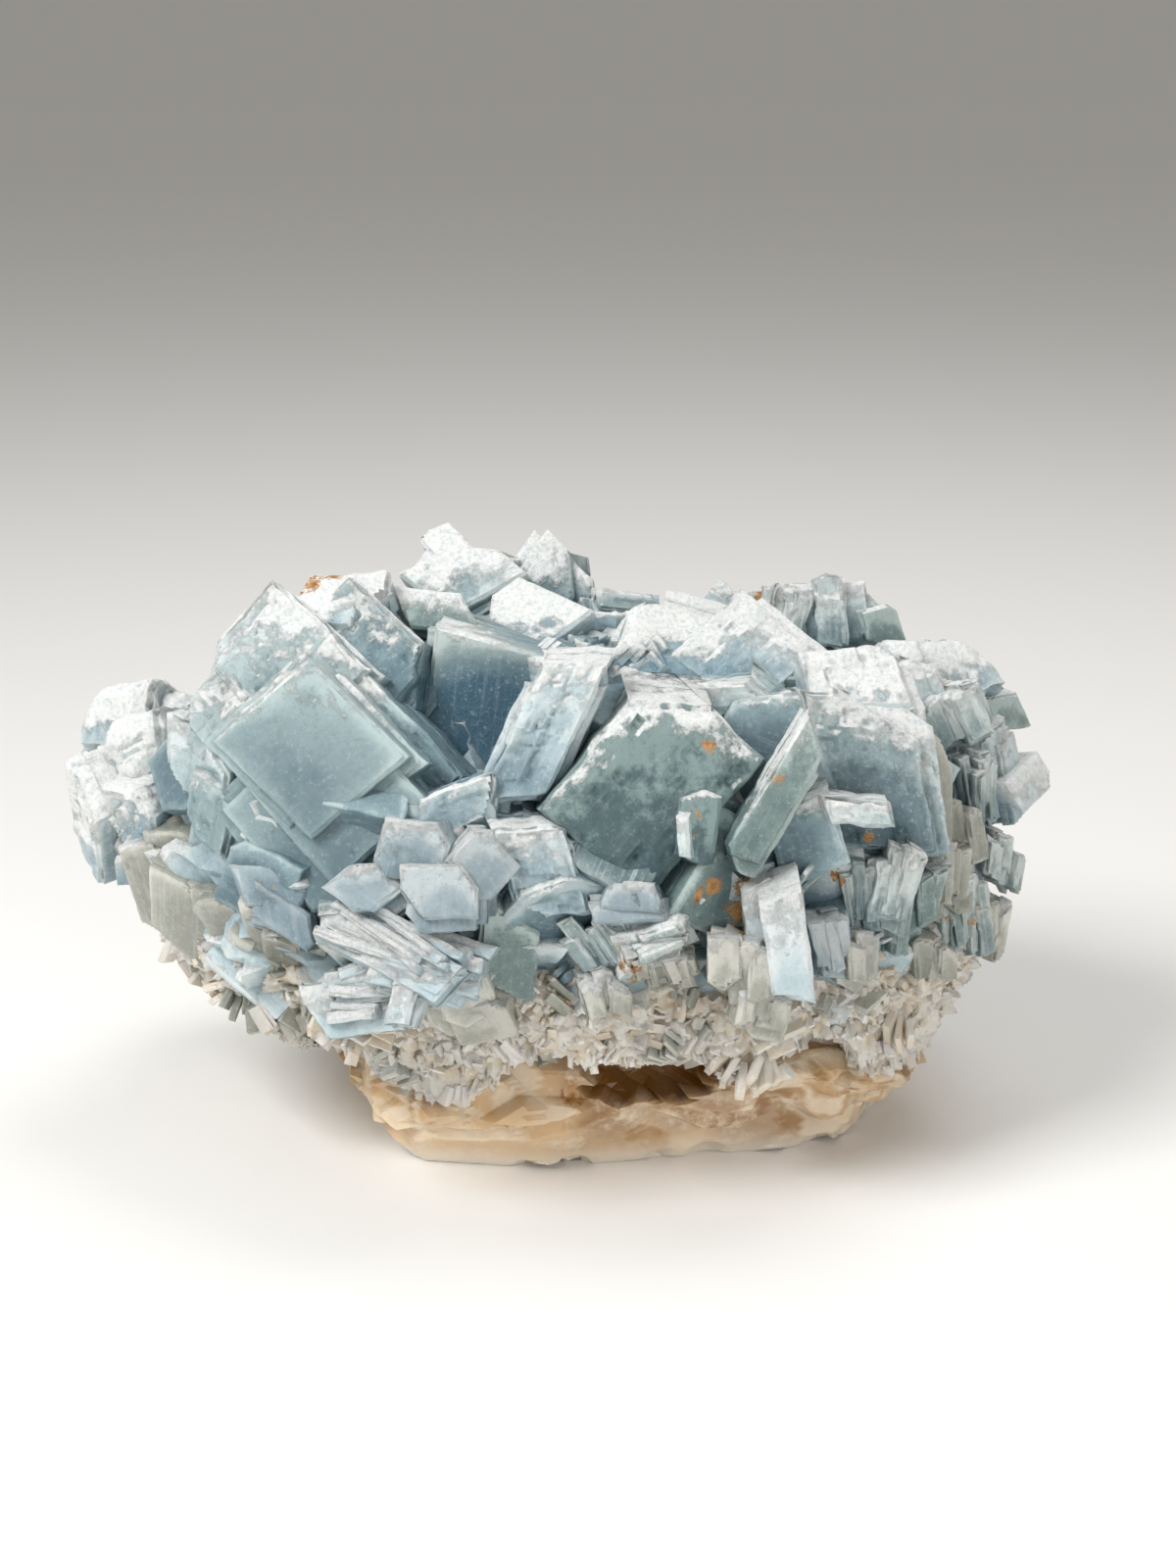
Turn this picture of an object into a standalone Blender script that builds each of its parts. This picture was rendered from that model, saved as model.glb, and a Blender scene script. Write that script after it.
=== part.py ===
"""Blue barite specimen: intergrown tabular barite crystals on a base of broken calcite.

X runs along the specimen's length, -Y is the side with the large flat rhombs, +Z is up.
The origin is on the resting plane, under the middle of the specimen.
"""
import math
import random
from collections import namedtuple

import bmesh
import bpy
from mathutils import Matrix, Vector

MM = 0.001
# Clearance between the two pieces, in mm like every size below.
GAP = 0.3
# Brings the middle of the specimen's length and depth over the origin.
CENTRING = Vector((-1.0, -1.4, 0.0))

# The intergrown mass: half-lengths of its rounded envelope about its middle.
MASS_MIDDLE = Vector((0.0, 2.0, 60.0))
MASS_HALF_LENGTH = 97.0
MASS_HALF_DEPTH = 62.0
MASS_RISE = 50.0
MASS_DROP = 48.0
MASS_SQUARENESS = 2.5
# The inner mass that the crystals are rooted in: its share of the envelope, how much less that is at
# the top, and how much lower its foot hangs at the left end.
CORE_SHARE = 0.82
CORE_SINK = 0.08
CORE_SKEW = 0.16
# The deep gap in front of the tall plate.
DENT_MIDDLE = Vector((-13.0, -36.0, 92.0))
DENT_REACH = 26.0
DENT_DEPTH = 20.0

# The calcite base under it.
BASE_MIDDLE = Vector((14.0, 1.0, 0.0))
BASE_HALF_LENGTH = 64.0
BASE_HALF_DEPTH = 45.0
BASE_HEIGHT = 37.0
# Share of the base's height at which it is widest, and how uneven its outline is.
BASE_WAIST = 0.30
BASE_UNEVEN = 0.05
# Its broken faces: a point on each, the side it looks to in degrees from +X, and its tilt.
BREAKS = [
    ((-40, 0, 10), 184, -46),
    ((-34, -27, 6), 228, -40),
    ((-14, -36, 9), 262, -36),
    ((16, -37, 14), 280, -34),
    ((40, -32, 7), 296, -36),
    ((66, -12, 6), 330, -44),
    ((70, 14, 12), 12, -36),
    ((44, 36, 10), 62, -34),
    ((6, 41, 10), 92, -26),
    ((-30, 30, 10), 138, -36),
    ((-48, -14, 24), 205, -12),
    ((-24, -40, 24), 248, -8),
]

HOLLOW_MIDDLE = Vector((18, -41, 22))
HOLLOW_HALF = (10.5, 9.0, 5.0)
HOLLOW_RAGGED = 0.12
# Corners nearer to each other than this are one.
WELD = 0.002
# Faces that meet at less than this angle in degrees are one face.
FLAT = 0.1

# A crystal is a rhombic plate. place is the middle of its outer face in mm. turned and raised say
# where that face looks: degrees to the right of -Y, and degrees above level. spin is the angle of its
# first edge above level, seen from outside, and corner is the angle from the first to the second edge.
# trims names the corners that are cut off: 0 is between the two edges, 1 to 3 go on round from it.
Crystal = namedtuple("Crystal", "name place turned raised spin edges corner thick trims",
                     defaults=((1, 3),))
# Where a corner is cut, as a share of the way to it, and how far the cut leans to the outer face.
TRIM_SHARE = (0.68, 0.86)
TRIM_LEAN = (-0.1, 0.35)

LEFT_STACK = [
    Crystal("big_rhomb", (-43, -42, 85), -15, 15, 46, (24, 35), 91, 17, (1,)),
    Crystal("big_rhomb_terrace", (-44, -43.4, 90), -15, 15, 43, (24, 26), 98, 8, ()),
    Crystal("lower_rhomb", (-40.2, -43.2, 75), -15, 15, 46, (28, 34), 91, 14, (2,)),
    Crystal("side_rhomb", (-38, -35, 87), -12, 15, 46, (25, 36), 91, 15, (1,)),
    Crystal("upper_rhomb", (-50, -28, 102), -15, 30, 54, (20, 27), 90, 15, (1,)),
    Crystal("rear_rhomb", (-36, -22, 103), -10, 30, 53, (17, 24), 88, 15),
    Crystal("stained_cap", (-42, -14, 111.6), -5, 60, 10, (20, 15), 80, 15),
    Crystal("etched_upper", (-63, -28, 93), -35, 20, 50, (14, 13), 100, 13),
    Crystal("etched_middle", (-67, -28, 83), -35, 10, 95, (14, 15), 80, 13),
    Crystal("etched_lower", (-65, -32, 74), -35, 5, 80, (13, 11), 80, 12),
    Crystal("pale_blade", (-64, -30, 65), -30, 20, 85, (10, 19), 62, 9),
    Crystal("slate_blade", (-51, -46, 62), -10, 25, 109, (9, 21), 58, 10),
    Crystal("beige_plate", (-51, -42, 50), -20, -40, 73, (18, 16), 70, 9),
    Crystal("beige_plate_low", (-58, -35, 44), -25, -35, 60, (17, 9), 80, 8),
]

FAR_LEFT = [
    Crystal("white_knob_outer", (-88, 3, 84), -30, 40, 20, (15, 13), 80, 16),
    Crystal("white_knob_inner", (-79, 5, 83), -10, 45, 60, (13, 13), 85, 15),
    Crystal("white_shoulder", (-86, -7, 76), -35, 25, 28, (20, 19), 85, 19),
    Crystal("white_bridge", (-74, -7, 78), -15, 50, 75, (16, 14), 82, 15),
    Crystal("blue_shoulder", (-83, -16, 67), -40, -10, 83, (14, 15), 100, 15),
    Crystal("edge_blade", (-94, -6, 63), -60, -10, 70, (22, 13), 80, 13),
    Crystal("grey_blade", (-75, -20, 52), -30, -20, 91, (24, 17), 104, 10),
    Crystal("frosted_strip", (-69, -24, 58), -15, 15, 112, (23, 6), 85, 13),
    Crystal("edge_blade_low", (-85, -8, 50), -55, -25, 108, (20, 8), 85, 10),
]

LOW_FAN = [
    Crystal("toothed_blade", (-17, -50, 81), 0, 15, 20, (16, 8), 92, 12),
    Crystal("round_blade", (-25, -56, 75), -10, 15, 77, (11, 13), 100, 13),
    Crystal("front_plate", (-20, -61, 69), 0, 15, 89, (10, 14), 93, 11),
    Crystal("left_tip", (-34, -55, 68), -15, 30, 149, (10, 10), 75, 10),
    Crystal("rear_tip", (-12, -57, 73), 20, 15, 125, (11, 10), 95, 11),
    Crystal("etched_block", (-2, -54, 70), 10, 0, 105, (18, 13), 76, 15),
    Crystal("long_spray", (-29, -60, 60), -10, 40, 155, (31, 9), 75, 8),
    Crystal("short_spray", (-20, -60, 56), 5, 30, 165, (19, 10), 80, 8),
    Crystal("small_prism", (-27, -62, 49), -15, 10, 6, (5, 15), 70, 7),
    Crystal("teal_plate", (-8, -52, 54), 15, -10, 88, (20, 12), 74, 12),
    Crystal("rounded_plate", (-15, -54, 42), 0, -15, 103, (10, 14), 94, 10),
    Crystal("level_blade", (-36, -56, 48), -10, 20, 102, (10, 19), 88, 10),
]

TOP_ROW = [
    Crystal("tall_plate", (-14, -22, 89), -5, 5, 84, (31, 21), 81, 20, ()),
    Crystal("white_table", (-5, 0, 105), -10, 60, 152, (19, 14), 80, 13, (0,)),
    Crystal("level_strip", (-23, -8, 107), -5, 30, 111, (9, 15), 64, 13),
    Crystal("back_plate", (-19, 15, 109), -20, 40, 148, (16, 18), 70, 10),
    Crystal("thin_sheet", (-22, 19, 110), -25, 35, 150, (18, 11), 75, 4),
    Crystal("blue_peak", (-2, 20, 106), -5, 20, 55, (15, 13), 80, 13),
    Crystal("frosted_block", (15, 8, 101), 5, 15, 96, (10, 16), 75, 15),
    Crystal("small_plate", (18, -12, 97), 0, 20, 97, (10, 13), 84, 13),
    Crystal("dark_corner", (24, 6, 96), 40, 15, 55, (9, 10), 100, 9),
]

CENTRE = [
    Crystal("rugged_blade", (-1, -46, 96), -5, 10, 66, (31, 13), 122, 9, (0,)),
    Crystal("domed_rhomb", (18, -50, 85), 5, 10, 49, (35, 26), 86, 22, (0,)),
    Crystal("cross_bar", (14, -57, 65), 0, 10, 92, (6, 17), 91, 8),
    Crystal("loose_shard", (23, -61, 79), -10, 10, 97, (10, 3), 80, 5),
    Crystal("dark_plate", (28, -52, 77), 10, 5, 84, (14, 9), 75, 8),
    Crystal("under_plate", (8, -55, 56), -10, 0, 127, (11, 11), 80, 8),
    Crystal("pale_scale", (10, -57, 47), 10, 0, 99, (9, 7), 82, 7),
    Crystal("brown_plate", (21, -55, 51), 20, -20, 113, (10, 12), 60, 7),
    Crystal("under_scale", (20, -57, 56), 10, -10, 88, (7, 11), 80, 7),
]

RIGHT_BLOCKS = [
    Crystal("white_roof", (36, -14, 100), 0, 40, 46, (20, 20), 90, 12, ()),
    Crystal("pale_front", (37, -32, 92), 5, 10, 104, (15, 17), 78, 17),
    Crystal("pitted_block", (58, -38, 84), 5, 15, 98, (29, 21), 76, 21, (3,)),
    Crystal("block_top", (56, -26.5, 99), 5, 55, 96, (15, 18), 87, 14),
    Crystal("honey_side", (71, -30, 79), 55, 10, 76, (20, 17), 70, 12),
    Crystal("striped_back", (53, 10, 101), 5, 15, 97, (15, 17), 81, 16),
    Crystal("striped_back_left", (45, 9, 102), -10, 20, 85, (12, 9), 80, 12),
    Crystal("dark_back", (66, 14, 98), 30, 10, 106, (9, 9), 80, 10),
    Crystal("knife_blade", (40, -52, 83), 10, 10, 57, (28, 9), 50, 7, (2,)),
    Crystal("frosted_bar", (55, -50, 80), 5, 10, 97, (5, 14), 78, 10),
    Crystal("kite_plate", (46, -47, 74), 0, 5, 107, (15, 13), 99, 12, ()),
    Crystal("striated_plate", (58, -44, 62), 0, 5, 93, (18, 8), 85, 12),
    Crystal("striated_ridge", (63, -46, 64), 10, 5, 80, (19, 6), 96, 7),
    Crystal("slate_plate", (69, -38, 57), 20, -5, 92, (16, 10), 105, 10),
    Crystal("upright_prism", (42, -59, 57), 0, 5, 98, (25, 8), 78, 10, (0, 1)),
    Crystal("pale_flake", (34, -59, 53), -10, 10, 93, (12, 10), 75, 8),
    Crystal("pale_flake_low", (38, -60, 46), 5, 5, 80, (10, 8), 85, 8),
    Crystal("petal_left", (52, -52, 54), 20, 0, 103, (14, 7), 84, 8),
    Crystal("petal_right", (58, -48, 50), 30, 0, 92, (11, 7), 66, 7),
]

FAR_RIGHT = [
    Crystal("white_crest", (81, 5, 93), 30, 35, 107, (13, 16), 75, 14),
    Crystal("white_crest_left", (72, 3, 94), 15, 35, 100, (11, 11), 80, 12),
    Crystal("pale_step", (71, -8, 92), 25, 20, 110, (11, 10), 80, 12),
    Crystal("pale_column_top", (80, -10, 86), 30, 10, 113, (13, 13), 75, 14),
    Crystal("grey_corner", (92, 14, 80), 45, 0, 126, (14, 10), 65, 12),
    Crystal("end_prism", (95, -1, 70), 50, 15, 13, (14, 9), 110, 12, (3,)),
    Crystal("cream_column", (80, -20, 67), 35, 5, 97, (12, 8), 75, 10),
    Crystal("grey_column", (85, -12, 71), 40, 0, 96, (23, 8), 75, 10),
    Crystal("end_plate", (90, -11, 56), 45, -5, 86, (11, 12), 70, 10),
    Crystal("low_column", (82, -20, 49), 40, 0, 98, (19, 9), 70, 10),
    Crystal("low_corner", (87, -14, 44), 50, -5, 97, (15, 11), 62, 10),
    Crystal("beige_petal", (77, -25, 58), 30, 5, 86, (15, 8), 93, 9),
    Crystal("pale_petal", (74, -31, 44), 35, 0, 93, (10, 8), 75, 8),
]

# Crystals that nothing in front hides follow seeded rules instead of the lists above.
FILLER_COUNT = 70
FILLER_EDGE = (15, 24)
FILLER_SHARE = 0.84
FILLER_THICK = 14
FILLER_FOOT = -0.55
# Places where a large crystal of the front stands free instead.
FILLER_LEFT_OUT = (0, 7, 15)
BACK_COUNT = 64
BACK_EDGE = (20, 32)
BACK_SHARE = 0.96
BACK_SINK = 0.25
BACK_THICK = 16
BACK_START = 0.30
BACK_FOOT = -0.45
GROWN_CORNER = 80
GROWN_WOBBLE = 24
# The rim of small blades: rows at these heights round an oval that widens upwards.
RIM_HEIGHTS = (41, 33, 26)
RIM_PER_ROW = 32
RIM_LONG_EDGE = (9, 14)
RIM_SHORT_EDGE = (4, 8)
RIM_CORNER = 78
RIM_THICK = 9
RIM_TURN = (-60, 60)
RIM_RAISE = (-40, 25)
RIM_SPIN = (50, 130)
RIM_LIFT = (-2, 2)
RIM_FOOT = 22.0
RIM_TILT = 6.0
RIM_MIDDLE = (10, -0.33)
RIM_HALF_LENGTH = (72, 0.83)
RIM_HALF_DEPTH = (45, 0.30)


def looking(turned, raised):
    """The direction a face looks, with its level and its upward direction in the face."""
    side, lift = math.radians(turned), math.radians(raised)
    out = Vector((math.sin(side) * math.cos(lift), -math.cos(side) * math.cos(lift), math.sin(lift)))
    level = Vector((0, 0, 1)).cross(out).normalized()
    return out, level, out.cross(level)


def facing(out):
    """The turned and raised angles of a direction."""
    return math.degrees(math.atan2(out.x, -out.y)), math.degrees(math.asin(out.normalized().z))


def envelope(direction):
    """How far the rounded mass reaches from its middle in a direction."""
    drop = MASS_RISE if direction.z > 0 else MASS_DROP
    parts = ((direction.x, MASS_HALF_LENGTH), (direction.y, MASS_HALF_DEPTH), (direction.z, drop))
    total = sum(abs(part / half) ** MASS_SQUARENESS for part, half in parts)
    return total ** (-1 / MASS_SQUARENESS)


def close_holes(bm):
    """Caps the openings that a cutting plane leaves."""
    bmesh.ops.holes_fill(bm, edges=[edge for edge in bm.edges if edge.is_boundary])
    bmesh.ops.recalc_face_normals(bm, faces=bm.faces)


def cut(bm, point, normal):
    """Takes off what lies beyond a plane and closes the cut."""
    geometry = bm.verts[:] + bm.edges[:] + bm.faces[:]
    bmesh.ops.bisect_plane(bm, geom=geometry, plane_co=point, plane_no=normal, clear_outer=True)
    close_holes(bm)


def add_crystal(target, crystal):
    """Grows one rhombic plate into the target mesh, with some of its corners cut off."""
    rng = random.Random(crystal.name)
    out, level, rise = looking(crystal.turned, crystal.raised)
    first = math.radians(crystal.spin)
    second = math.radians(crystal.spin + crystal.corner)
    edge_a = (level * math.cos(first) + rise * math.sin(first)) * crystal.edges[0]
    edge_b = (level * math.cos(second) + rise * math.sin(second)) * crystal.edges[1]
    middle = Vector(crystal.place) - out * crystal.thick / 2
    bm = bmesh.new()
    bmesh.ops.create_cube(bm, size=1.0)
    skew = Matrix((edge_a, edge_b, out * crystal.thick)).transposed()
    bmesh.ops.transform(bm, matrix=Matrix.Translation(middle) @ skew.to_4x4(), verts=bm.verts)
    bmesh.ops.recalc_face_normals(bm, faces=bm.faces)
    corners = [edge_a + edge_b, edge_b - edge_a, -edge_a - edge_b, edge_a - edge_b]
    for index in crystal.trims:
        corner = corners[index]
        reach = corner / 2
        away = corner.normalized() + out * rng.uniform(*TRIM_LEAN)
        cut(bm, middle + reach * rng.uniform(*TRIM_SHARE), away)
    piece = bpy.data.meshes.new(crystal.name)
    bm.to_mesh(piece)
    bm.free()
    target.from_mesh(piece)
    bpy.data.meshes.remove(piece)


def grown_on_dome(name, direction, share, edge_range, thick, rng):
    """A crystal that stands on the rounded mass, facing roughly outwards."""
    place = MASS_MIDDLE + direction * envelope(direction) * share
    half = Vector((MASS_HALF_LENGTH ** -2, MASS_HALF_DEPTH ** -2, MASS_RISE ** -2))
    out = Vector(part * weight for part, weight in zip(place - MASS_MIDDLE, half))
    turned, raised = facing(out)
    return Crystal(name, tuple(place), turned + rng.uniform(-GROWN_WOBBLE, GROWN_WOBBLE),
                   raised + rng.uniform(-GROWN_WOBBLE, GROWN_WOBBLE), rng.uniform(0, 180),
                   (rng.uniform(*edge_range), rng.uniform(*edge_range)), GROWN_CORNER, thick,
                   (rng.randrange(4),))


def spread(count):
    """Directions spread evenly over a sphere."""
    golden = math.pi * (3 - math.sqrt(5))
    for index in range(count):
        height = 1 - 2 * (index + 0.5) / count
        ring = math.sqrt(1 - height * height)
        yield Vector((ring * math.cos(golden * index), ring * math.sin(golden * index), height))


def filler_crystals():
    """Crystals in the gaps between the large ones, set a little deeper."""
    rng = random.Random(3)
    for index, direction in enumerate(spread(FILLER_COUNT)):
        if direction.z > FILLER_FOOT and index not in FILLER_LEFT_OUT:
            yield grown_on_dome(f"filler_{index}", direction, FILLER_SHARE, FILLER_EDGE, FILLER_THICK,
                                rng)


def back_crystals():
    """The large crystals of the sides and the back."""
    rng = random.Random(11)
    for index, direction in enumerate(spread(BACK_COUNT)):
        if direction.y > BACK_START and direction.z > BACK_FOOT:
            share = BACK_SHARE - BACK_SINK * max(direction.z, 0)
            yield grown_on_dome(f"back_{index}", direction, share, BACK_EDGE, BACK_THICK, rng)


def rim_crystals():
    """The rim of small blades that hangs around the foot of the mass."""
    rng = random.Random(29)
    for row, height in enumerate(RIM_HEIGHTS):
        middle, half_length, half_depth = (at_foot + growth * (height - RIM_FOOT) for at_foot, growth
                                           in (RIM_MIDDLE, RIM_HALF_LENGTH, RIM_HALF_DEPTH))
        for index in range(RIM_PER_ROW):
            around = math.tau * (index + 0.5 * (row % 2) + rng.uniform(-0.3, 0.3)) / RIM_PER_ROW
            place = Vector((half_length * math.cos(around) + middle, half_depth * math.sin(around),
                            height - RIM_TILT * math.cos(around) + rng.uniform(*RIM_LIFT)))
            turned = math.degrees(math.atan2(math.cos(around), -math.sin(around)))
            yield Crystal(f"rim_{row}_{index}", tuple(place), turned + rng.uniform(*RIM_TURN),
                          rng.uniform(*RIM_RAISE), rng.uniform(*RIM_SPIN),
                          (rng.uniform(*RIM_LONG_EDGE), rng.uniform(*RIM_SHORT_EDGE)), RIM_CORNER,
                          RIM_THICK, ())


def material(name, colour, roughness):
    """A plain material of the given colour."""
    made = bpy.data.materials.new(name)
    made.use_nodes = True
    shader = made.node_tree.nodes["Principled BSDF"]
    shader.inputs["Base Color"].default_value = (*colour, 1)
    shader.inputs["Roughness"].default_value = roughness
    shader.inputs["Metallic"].default_value = 0.0
    return made


def put(name, bm, hidden=False):
    """Centres a mesh made in millimetres, scales it to metres and puts it in the scene."""
    bmesh.ops.translate(bm, vec=CENTRING, verts=bm.verts)
    bmesh.ops.scale(bm, vec=(MM, MM, MM), verts=bm.verts)
    mesh = bpy.data.meshes.new(name)
    bm.to_mesh(mesh)
    bm.free()
    made = bpy.data.objects.new(name, mesh)
    bpy.context.scene.collection.objects.link(made)
    if hidden:
        made.hide_render = True
        made.display_type = "WIRE"
    return made


def boolean(target, tool, operation):
    """Joins or cuts one object with another."""
    step = target.modifiers.new(f"{operation} {tool.name}", "BOOLEAN")
    step.operation = operation
    step.object = tool
    step.solver = "EXACT"
    step.use_self = True


def core():
    """The inner mass that every crystal is rooted in, dented in front of the tall plate."""
    bm = bmesh.new()
    bmesh.ops.create_icosphere(bm, subdivisions=3, radius=1)
    for vert in bm.verts:
        direction = vert.co.normalized()
        share = CORE_SHARE - CORE_SINK * max(direction.z, 0)
        vert.co = MASS_MIDDLE + direction * envelope(direction) * share
        if direction.z < 0:
            vert.co.z -= CORE_SKEW * vert.co.x * -direction.z
        near = 1 - (vert.co - DENT_MIDDLE).length / DENT_REACH
        if near > 0:
            vert.co += (MASS_MIDDLE - vert.co).normalized() * DENT_DEPTH * near
    return bm


def base_lump(extra):
    """The calcite base: a rounded lump broken flat underneath, grown all over by extra mm."""
    bm = bmesh.new()
    bmesh.ops.create_icosphere(bm, subdivisions=3, radius=1)
    for vert in bm.verts:
        direction = vert.co.normalized()
        wave = 1 + BASE_UNEVEN * math.sin(5 * direction.x + 2) * math.cos(4 * direction.y)
        vert.co = BASE_MIDDLE + Vector((direction.x * BASE_HALF_LENGTH * wave,
                                        direction.y * BASE_HALF_DEPTH * wave,
                                        BASE_HEIGHT * (BASE_WAIST + (1 - BASE_WAIST) * direction.z)))
    for point, side, tilt in BREAKS:
        around, fall = math.radians(side), math.radians(tilt)
        normal = Vector((math.cos(around) * math.cos(fall), math.sin(around) * math.cos(fall),
                         math.sin(fall)))
        cut(bm, Vector(point), normal)
    cut(bm, Vector((0, 0, 0)), Vector((0, 0, -1)))
    if extra:
        for vert in bm.verts:
            vert.normal_update()
        moves = [vert.normal * extra * vert.calc_shell_factor() for vert in bm.verts]
        for vert, move in zip(bm.verts, moves):
            vert.co += move
    return bm


def hollow():
    """The brown hollow under the rim at the front of the base."""
    bm = bmesh.new()
    bmesh.ops.create_icosphere(bm, subdivisions=2, radius=1)
    for vert in bm.verts:
        ragged = 1 + HOLLOW_RAGGED * math.sin(7 * vert.co.x + 5 * vert.co.z)
        vert.co = HOLLOW_MIDDLE + Vector(part * half * ragged for part, half in zip(vert.co, HOLLOW_HALF))
    return bm


def settle(piece):
    """Replaces a piece's mesh by its finished form: one body, without slivers."""
    graph = bpy.context.evaluated_depsgraph_get()
    finished = bpy.data.meshes.new_from_object(piece.evaluated_get(graph))
    bm = bmesh.new()
    bm.from_mesh(finished)
    bmesh.ops.remove_doubles(bm, verts=bm.verts, dist=WELD * MM)
    bmesh.ops.dissolve_degenerate(bm, edges=bm.edges, dist=WELD * MM)
    left = set(bm.verts)
    islands = []
    while left:
        island = {left.pop()}
        edge = list(island)
        while edge:
            here = edge.pop()
            near = {link.other_vert(here) for link in here.link_edges} & left
            left -= near
            island |= near
            edge.extend(near)
        islands.append(island)
    islands.sort(key=len)
    bmesh.ops.delete(bm, geom=[vert for island in islands[:-1] for vert in island], context="VERTS")
    bmesh.ops.dissolve_limit(bm, angle_limit=math.radians(FLAT), verts=bm.verts, edges=bm.edges)
    bmesh.ops.triangulate(bm, faces=bm.faces)
    piece.modifiers.clear()
    bm.to_mesh(piece.data)
    bm.free()
    bpy.data.meshes.remove(finished)


def build():
    """Makes the two pieces."""
    for old in list(bpy.data.objects):
        bpy.data.objects.remove(old)
    shapes = bmesh.new()
    for group in (LEFT_STACK, FAR_LEFT, LOW_FAN, TOP_ROW, CENTRE, RIGHT_BLOCKS, FAR_RIGHT):
        for crystal in group:
            add_crystal(shapes, crystal)
    for crystal in filler_crystals():
        add_crystal(shapes, crystal)
    for crystal in back_crystals():
        add_crystal(shapes, crystal)
    for crystal in rim_crystals():
        add_crystal(shapes, crystal)
    grown = put("crystal_shapes", shapes, hidden=True)
    seat = put("base_seat", base_lump(GAP), hidden=True)
    barite = put("barite_crystals", core())
    boolean(barite, grown, "UNION")
    boolean(barite, seat, "DIFFERENCE")
    barite.data.materials.append(material("blue_barite", (0.42, 0.55, 0.60), 0.35))
    base = put("calcite_matrix", base_lump(0))
    boolean(base, put("hollow", hollow(), hidden=True), "DIFFERENCE")
    base.data.materials.append(material("cream_calcite", (0.72, 0.58, 0.42), 0.40))
    settle(barite)
    settle(base)


build()
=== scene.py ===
import math
import random
from collections import namedtuple

import bmesh
import bpy
import numpy as np
from mathutils import Matrix, Vector, noise


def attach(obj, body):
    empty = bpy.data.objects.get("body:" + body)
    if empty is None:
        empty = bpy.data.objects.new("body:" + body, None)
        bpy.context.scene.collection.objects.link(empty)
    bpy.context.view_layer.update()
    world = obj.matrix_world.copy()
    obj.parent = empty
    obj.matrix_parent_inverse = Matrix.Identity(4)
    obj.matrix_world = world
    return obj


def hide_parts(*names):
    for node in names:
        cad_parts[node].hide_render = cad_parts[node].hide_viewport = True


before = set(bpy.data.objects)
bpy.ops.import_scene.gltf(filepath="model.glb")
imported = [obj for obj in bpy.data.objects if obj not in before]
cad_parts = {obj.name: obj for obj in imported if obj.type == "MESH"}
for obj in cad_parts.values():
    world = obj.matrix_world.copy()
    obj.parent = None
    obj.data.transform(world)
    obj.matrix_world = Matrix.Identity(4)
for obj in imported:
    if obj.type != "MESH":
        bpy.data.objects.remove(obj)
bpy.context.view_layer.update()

# The show side and the place.
# The specimen lies on a plain pale floor under soft studio light, seen from a little above the
# middle of its long side, as a collector would photograph it.
MM = 0.001
CAMERA_PLACE = (0.0053, -0.4774, 0.224)
CAMERA_TILT = 72
CAMERA_LENS = 57.56
CAMERA_SENSOR = 36.0
bpy.context.scene.view_settings.view_transform = "Standard"

camera = bpy.data.objects.new("show_camera", bpy.data.cameras.new("show_camera"))
camera.data.sensor_width = CAMERA_SENSOR
camera.data.lens = CAMERA_LENS
camera.location = CAMERA_PLACE
camera.rotation_euler = (math.radians(CAMERA_TILT), 0, 0)
bpy.context.scene.collection.objects.link(camera)
bpy.context.scene.camera = camera

FLOOR_COLOUR = (0.90, 0.89, 0.87, 1)
FLOOR_ROUGHNESS = 0.7
FLOOR_SIZE = 30.0


def principled(name):
    """A new material with its node tree and its Principled shader."""
    made = bpy.data.materials.new(name)
    made.use_nodes = True
    return made, made.node_tree, made.node_tree.nodes["Principled BSDF"]


floor_bm = bmesh.new()
bmesh.ops.create_grid(floor_bm, x_segments=1, y_segments=1, size=FLOOR_SIZE)
floor_mesh = bpy.data.meshes.new("pale_floor")
floor_bm.to_mesh(floor_mesh)
floor_bm.free()
floor = bpy.data.objects.new("pale_floor", floor_mesh)
bpy.context.scene.collection.objects.link(floor)
paper, _, paper_shader = principled("pale_paper")
paper_shader.inputs["Base Color"].default_value = FLOOR_COLOUR
paper_shader.inputs["Roughness"].default_value = FLOOR_ROUGHNESS
floor.data.materials.append(paper)


def softbox(name, place, target, size, power):
    """A square area light that looks at a point."""
    lamp = bpy.data.lights.new(name, "AREA")
    lamp.size = size
    lamp.energy = power
    made = bpy.data.objects.new(name, lamp)
    made.location = place
    made.rotation_euler = (Vector(target) - Vector(place)).to_track_quat("-Z", "Y").to_euler()
    bpy.context.scene.collection.objects.link(made)


# The name, place, target, size in metres and power in watts of each light.
for light in (("window_light", (-0.50, -0.40, 0.72), (0, 0, 0.06), 0.35, 7.0),
              ("top_light", (0.25, 0.20, 0.90), (0, 0, 0.07), 0.50, 3.0),
              ("front_fill", (0.45, -0.90, 0.30), (0, 0, 0.05), 0.60, 2.8)):
    softbox(*light)
SKY_COLOUR = (1.0, 0.975, 0.93, 1)
SKY_STRENGTH = 0.32
sky = bpy.data.worlds.new("studio")
sky.use_nodes = True
sky.node_tree.nodes["Background"].inputs["Color"].default_value = SKY_COLOUR
sky.node_tree.nodes["Background"].inputs["Strength"].default_value = SKY_STRENGTH
bpy.context.scene.world = sky

# The left stack of rhombs.
# Barite grows as flat rhombic plates made of thin layers. The largest of them lean against each
# other here, pale grey-blue inside with a white etched frosting on their upper and outer parts.
CENTRING = Vector((-1.0, -1.4, 0.0))
MASS_MIDDLE = Vector((0.0, 2.0, 60.0))
MASS_HALF_LENGTH = 97.0
MASS_HALF_DEPTH = 62.0
MASS_RISE = 50.0
MASS_DROP = 48.0
MASS_SQUARENESS = 2.5
# A crystal is outside the mass above this share of it, and all root a band of the mass further in.
OUTSIDE_SHARE = 0.93
ROOT_BAND = 0.17

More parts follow.
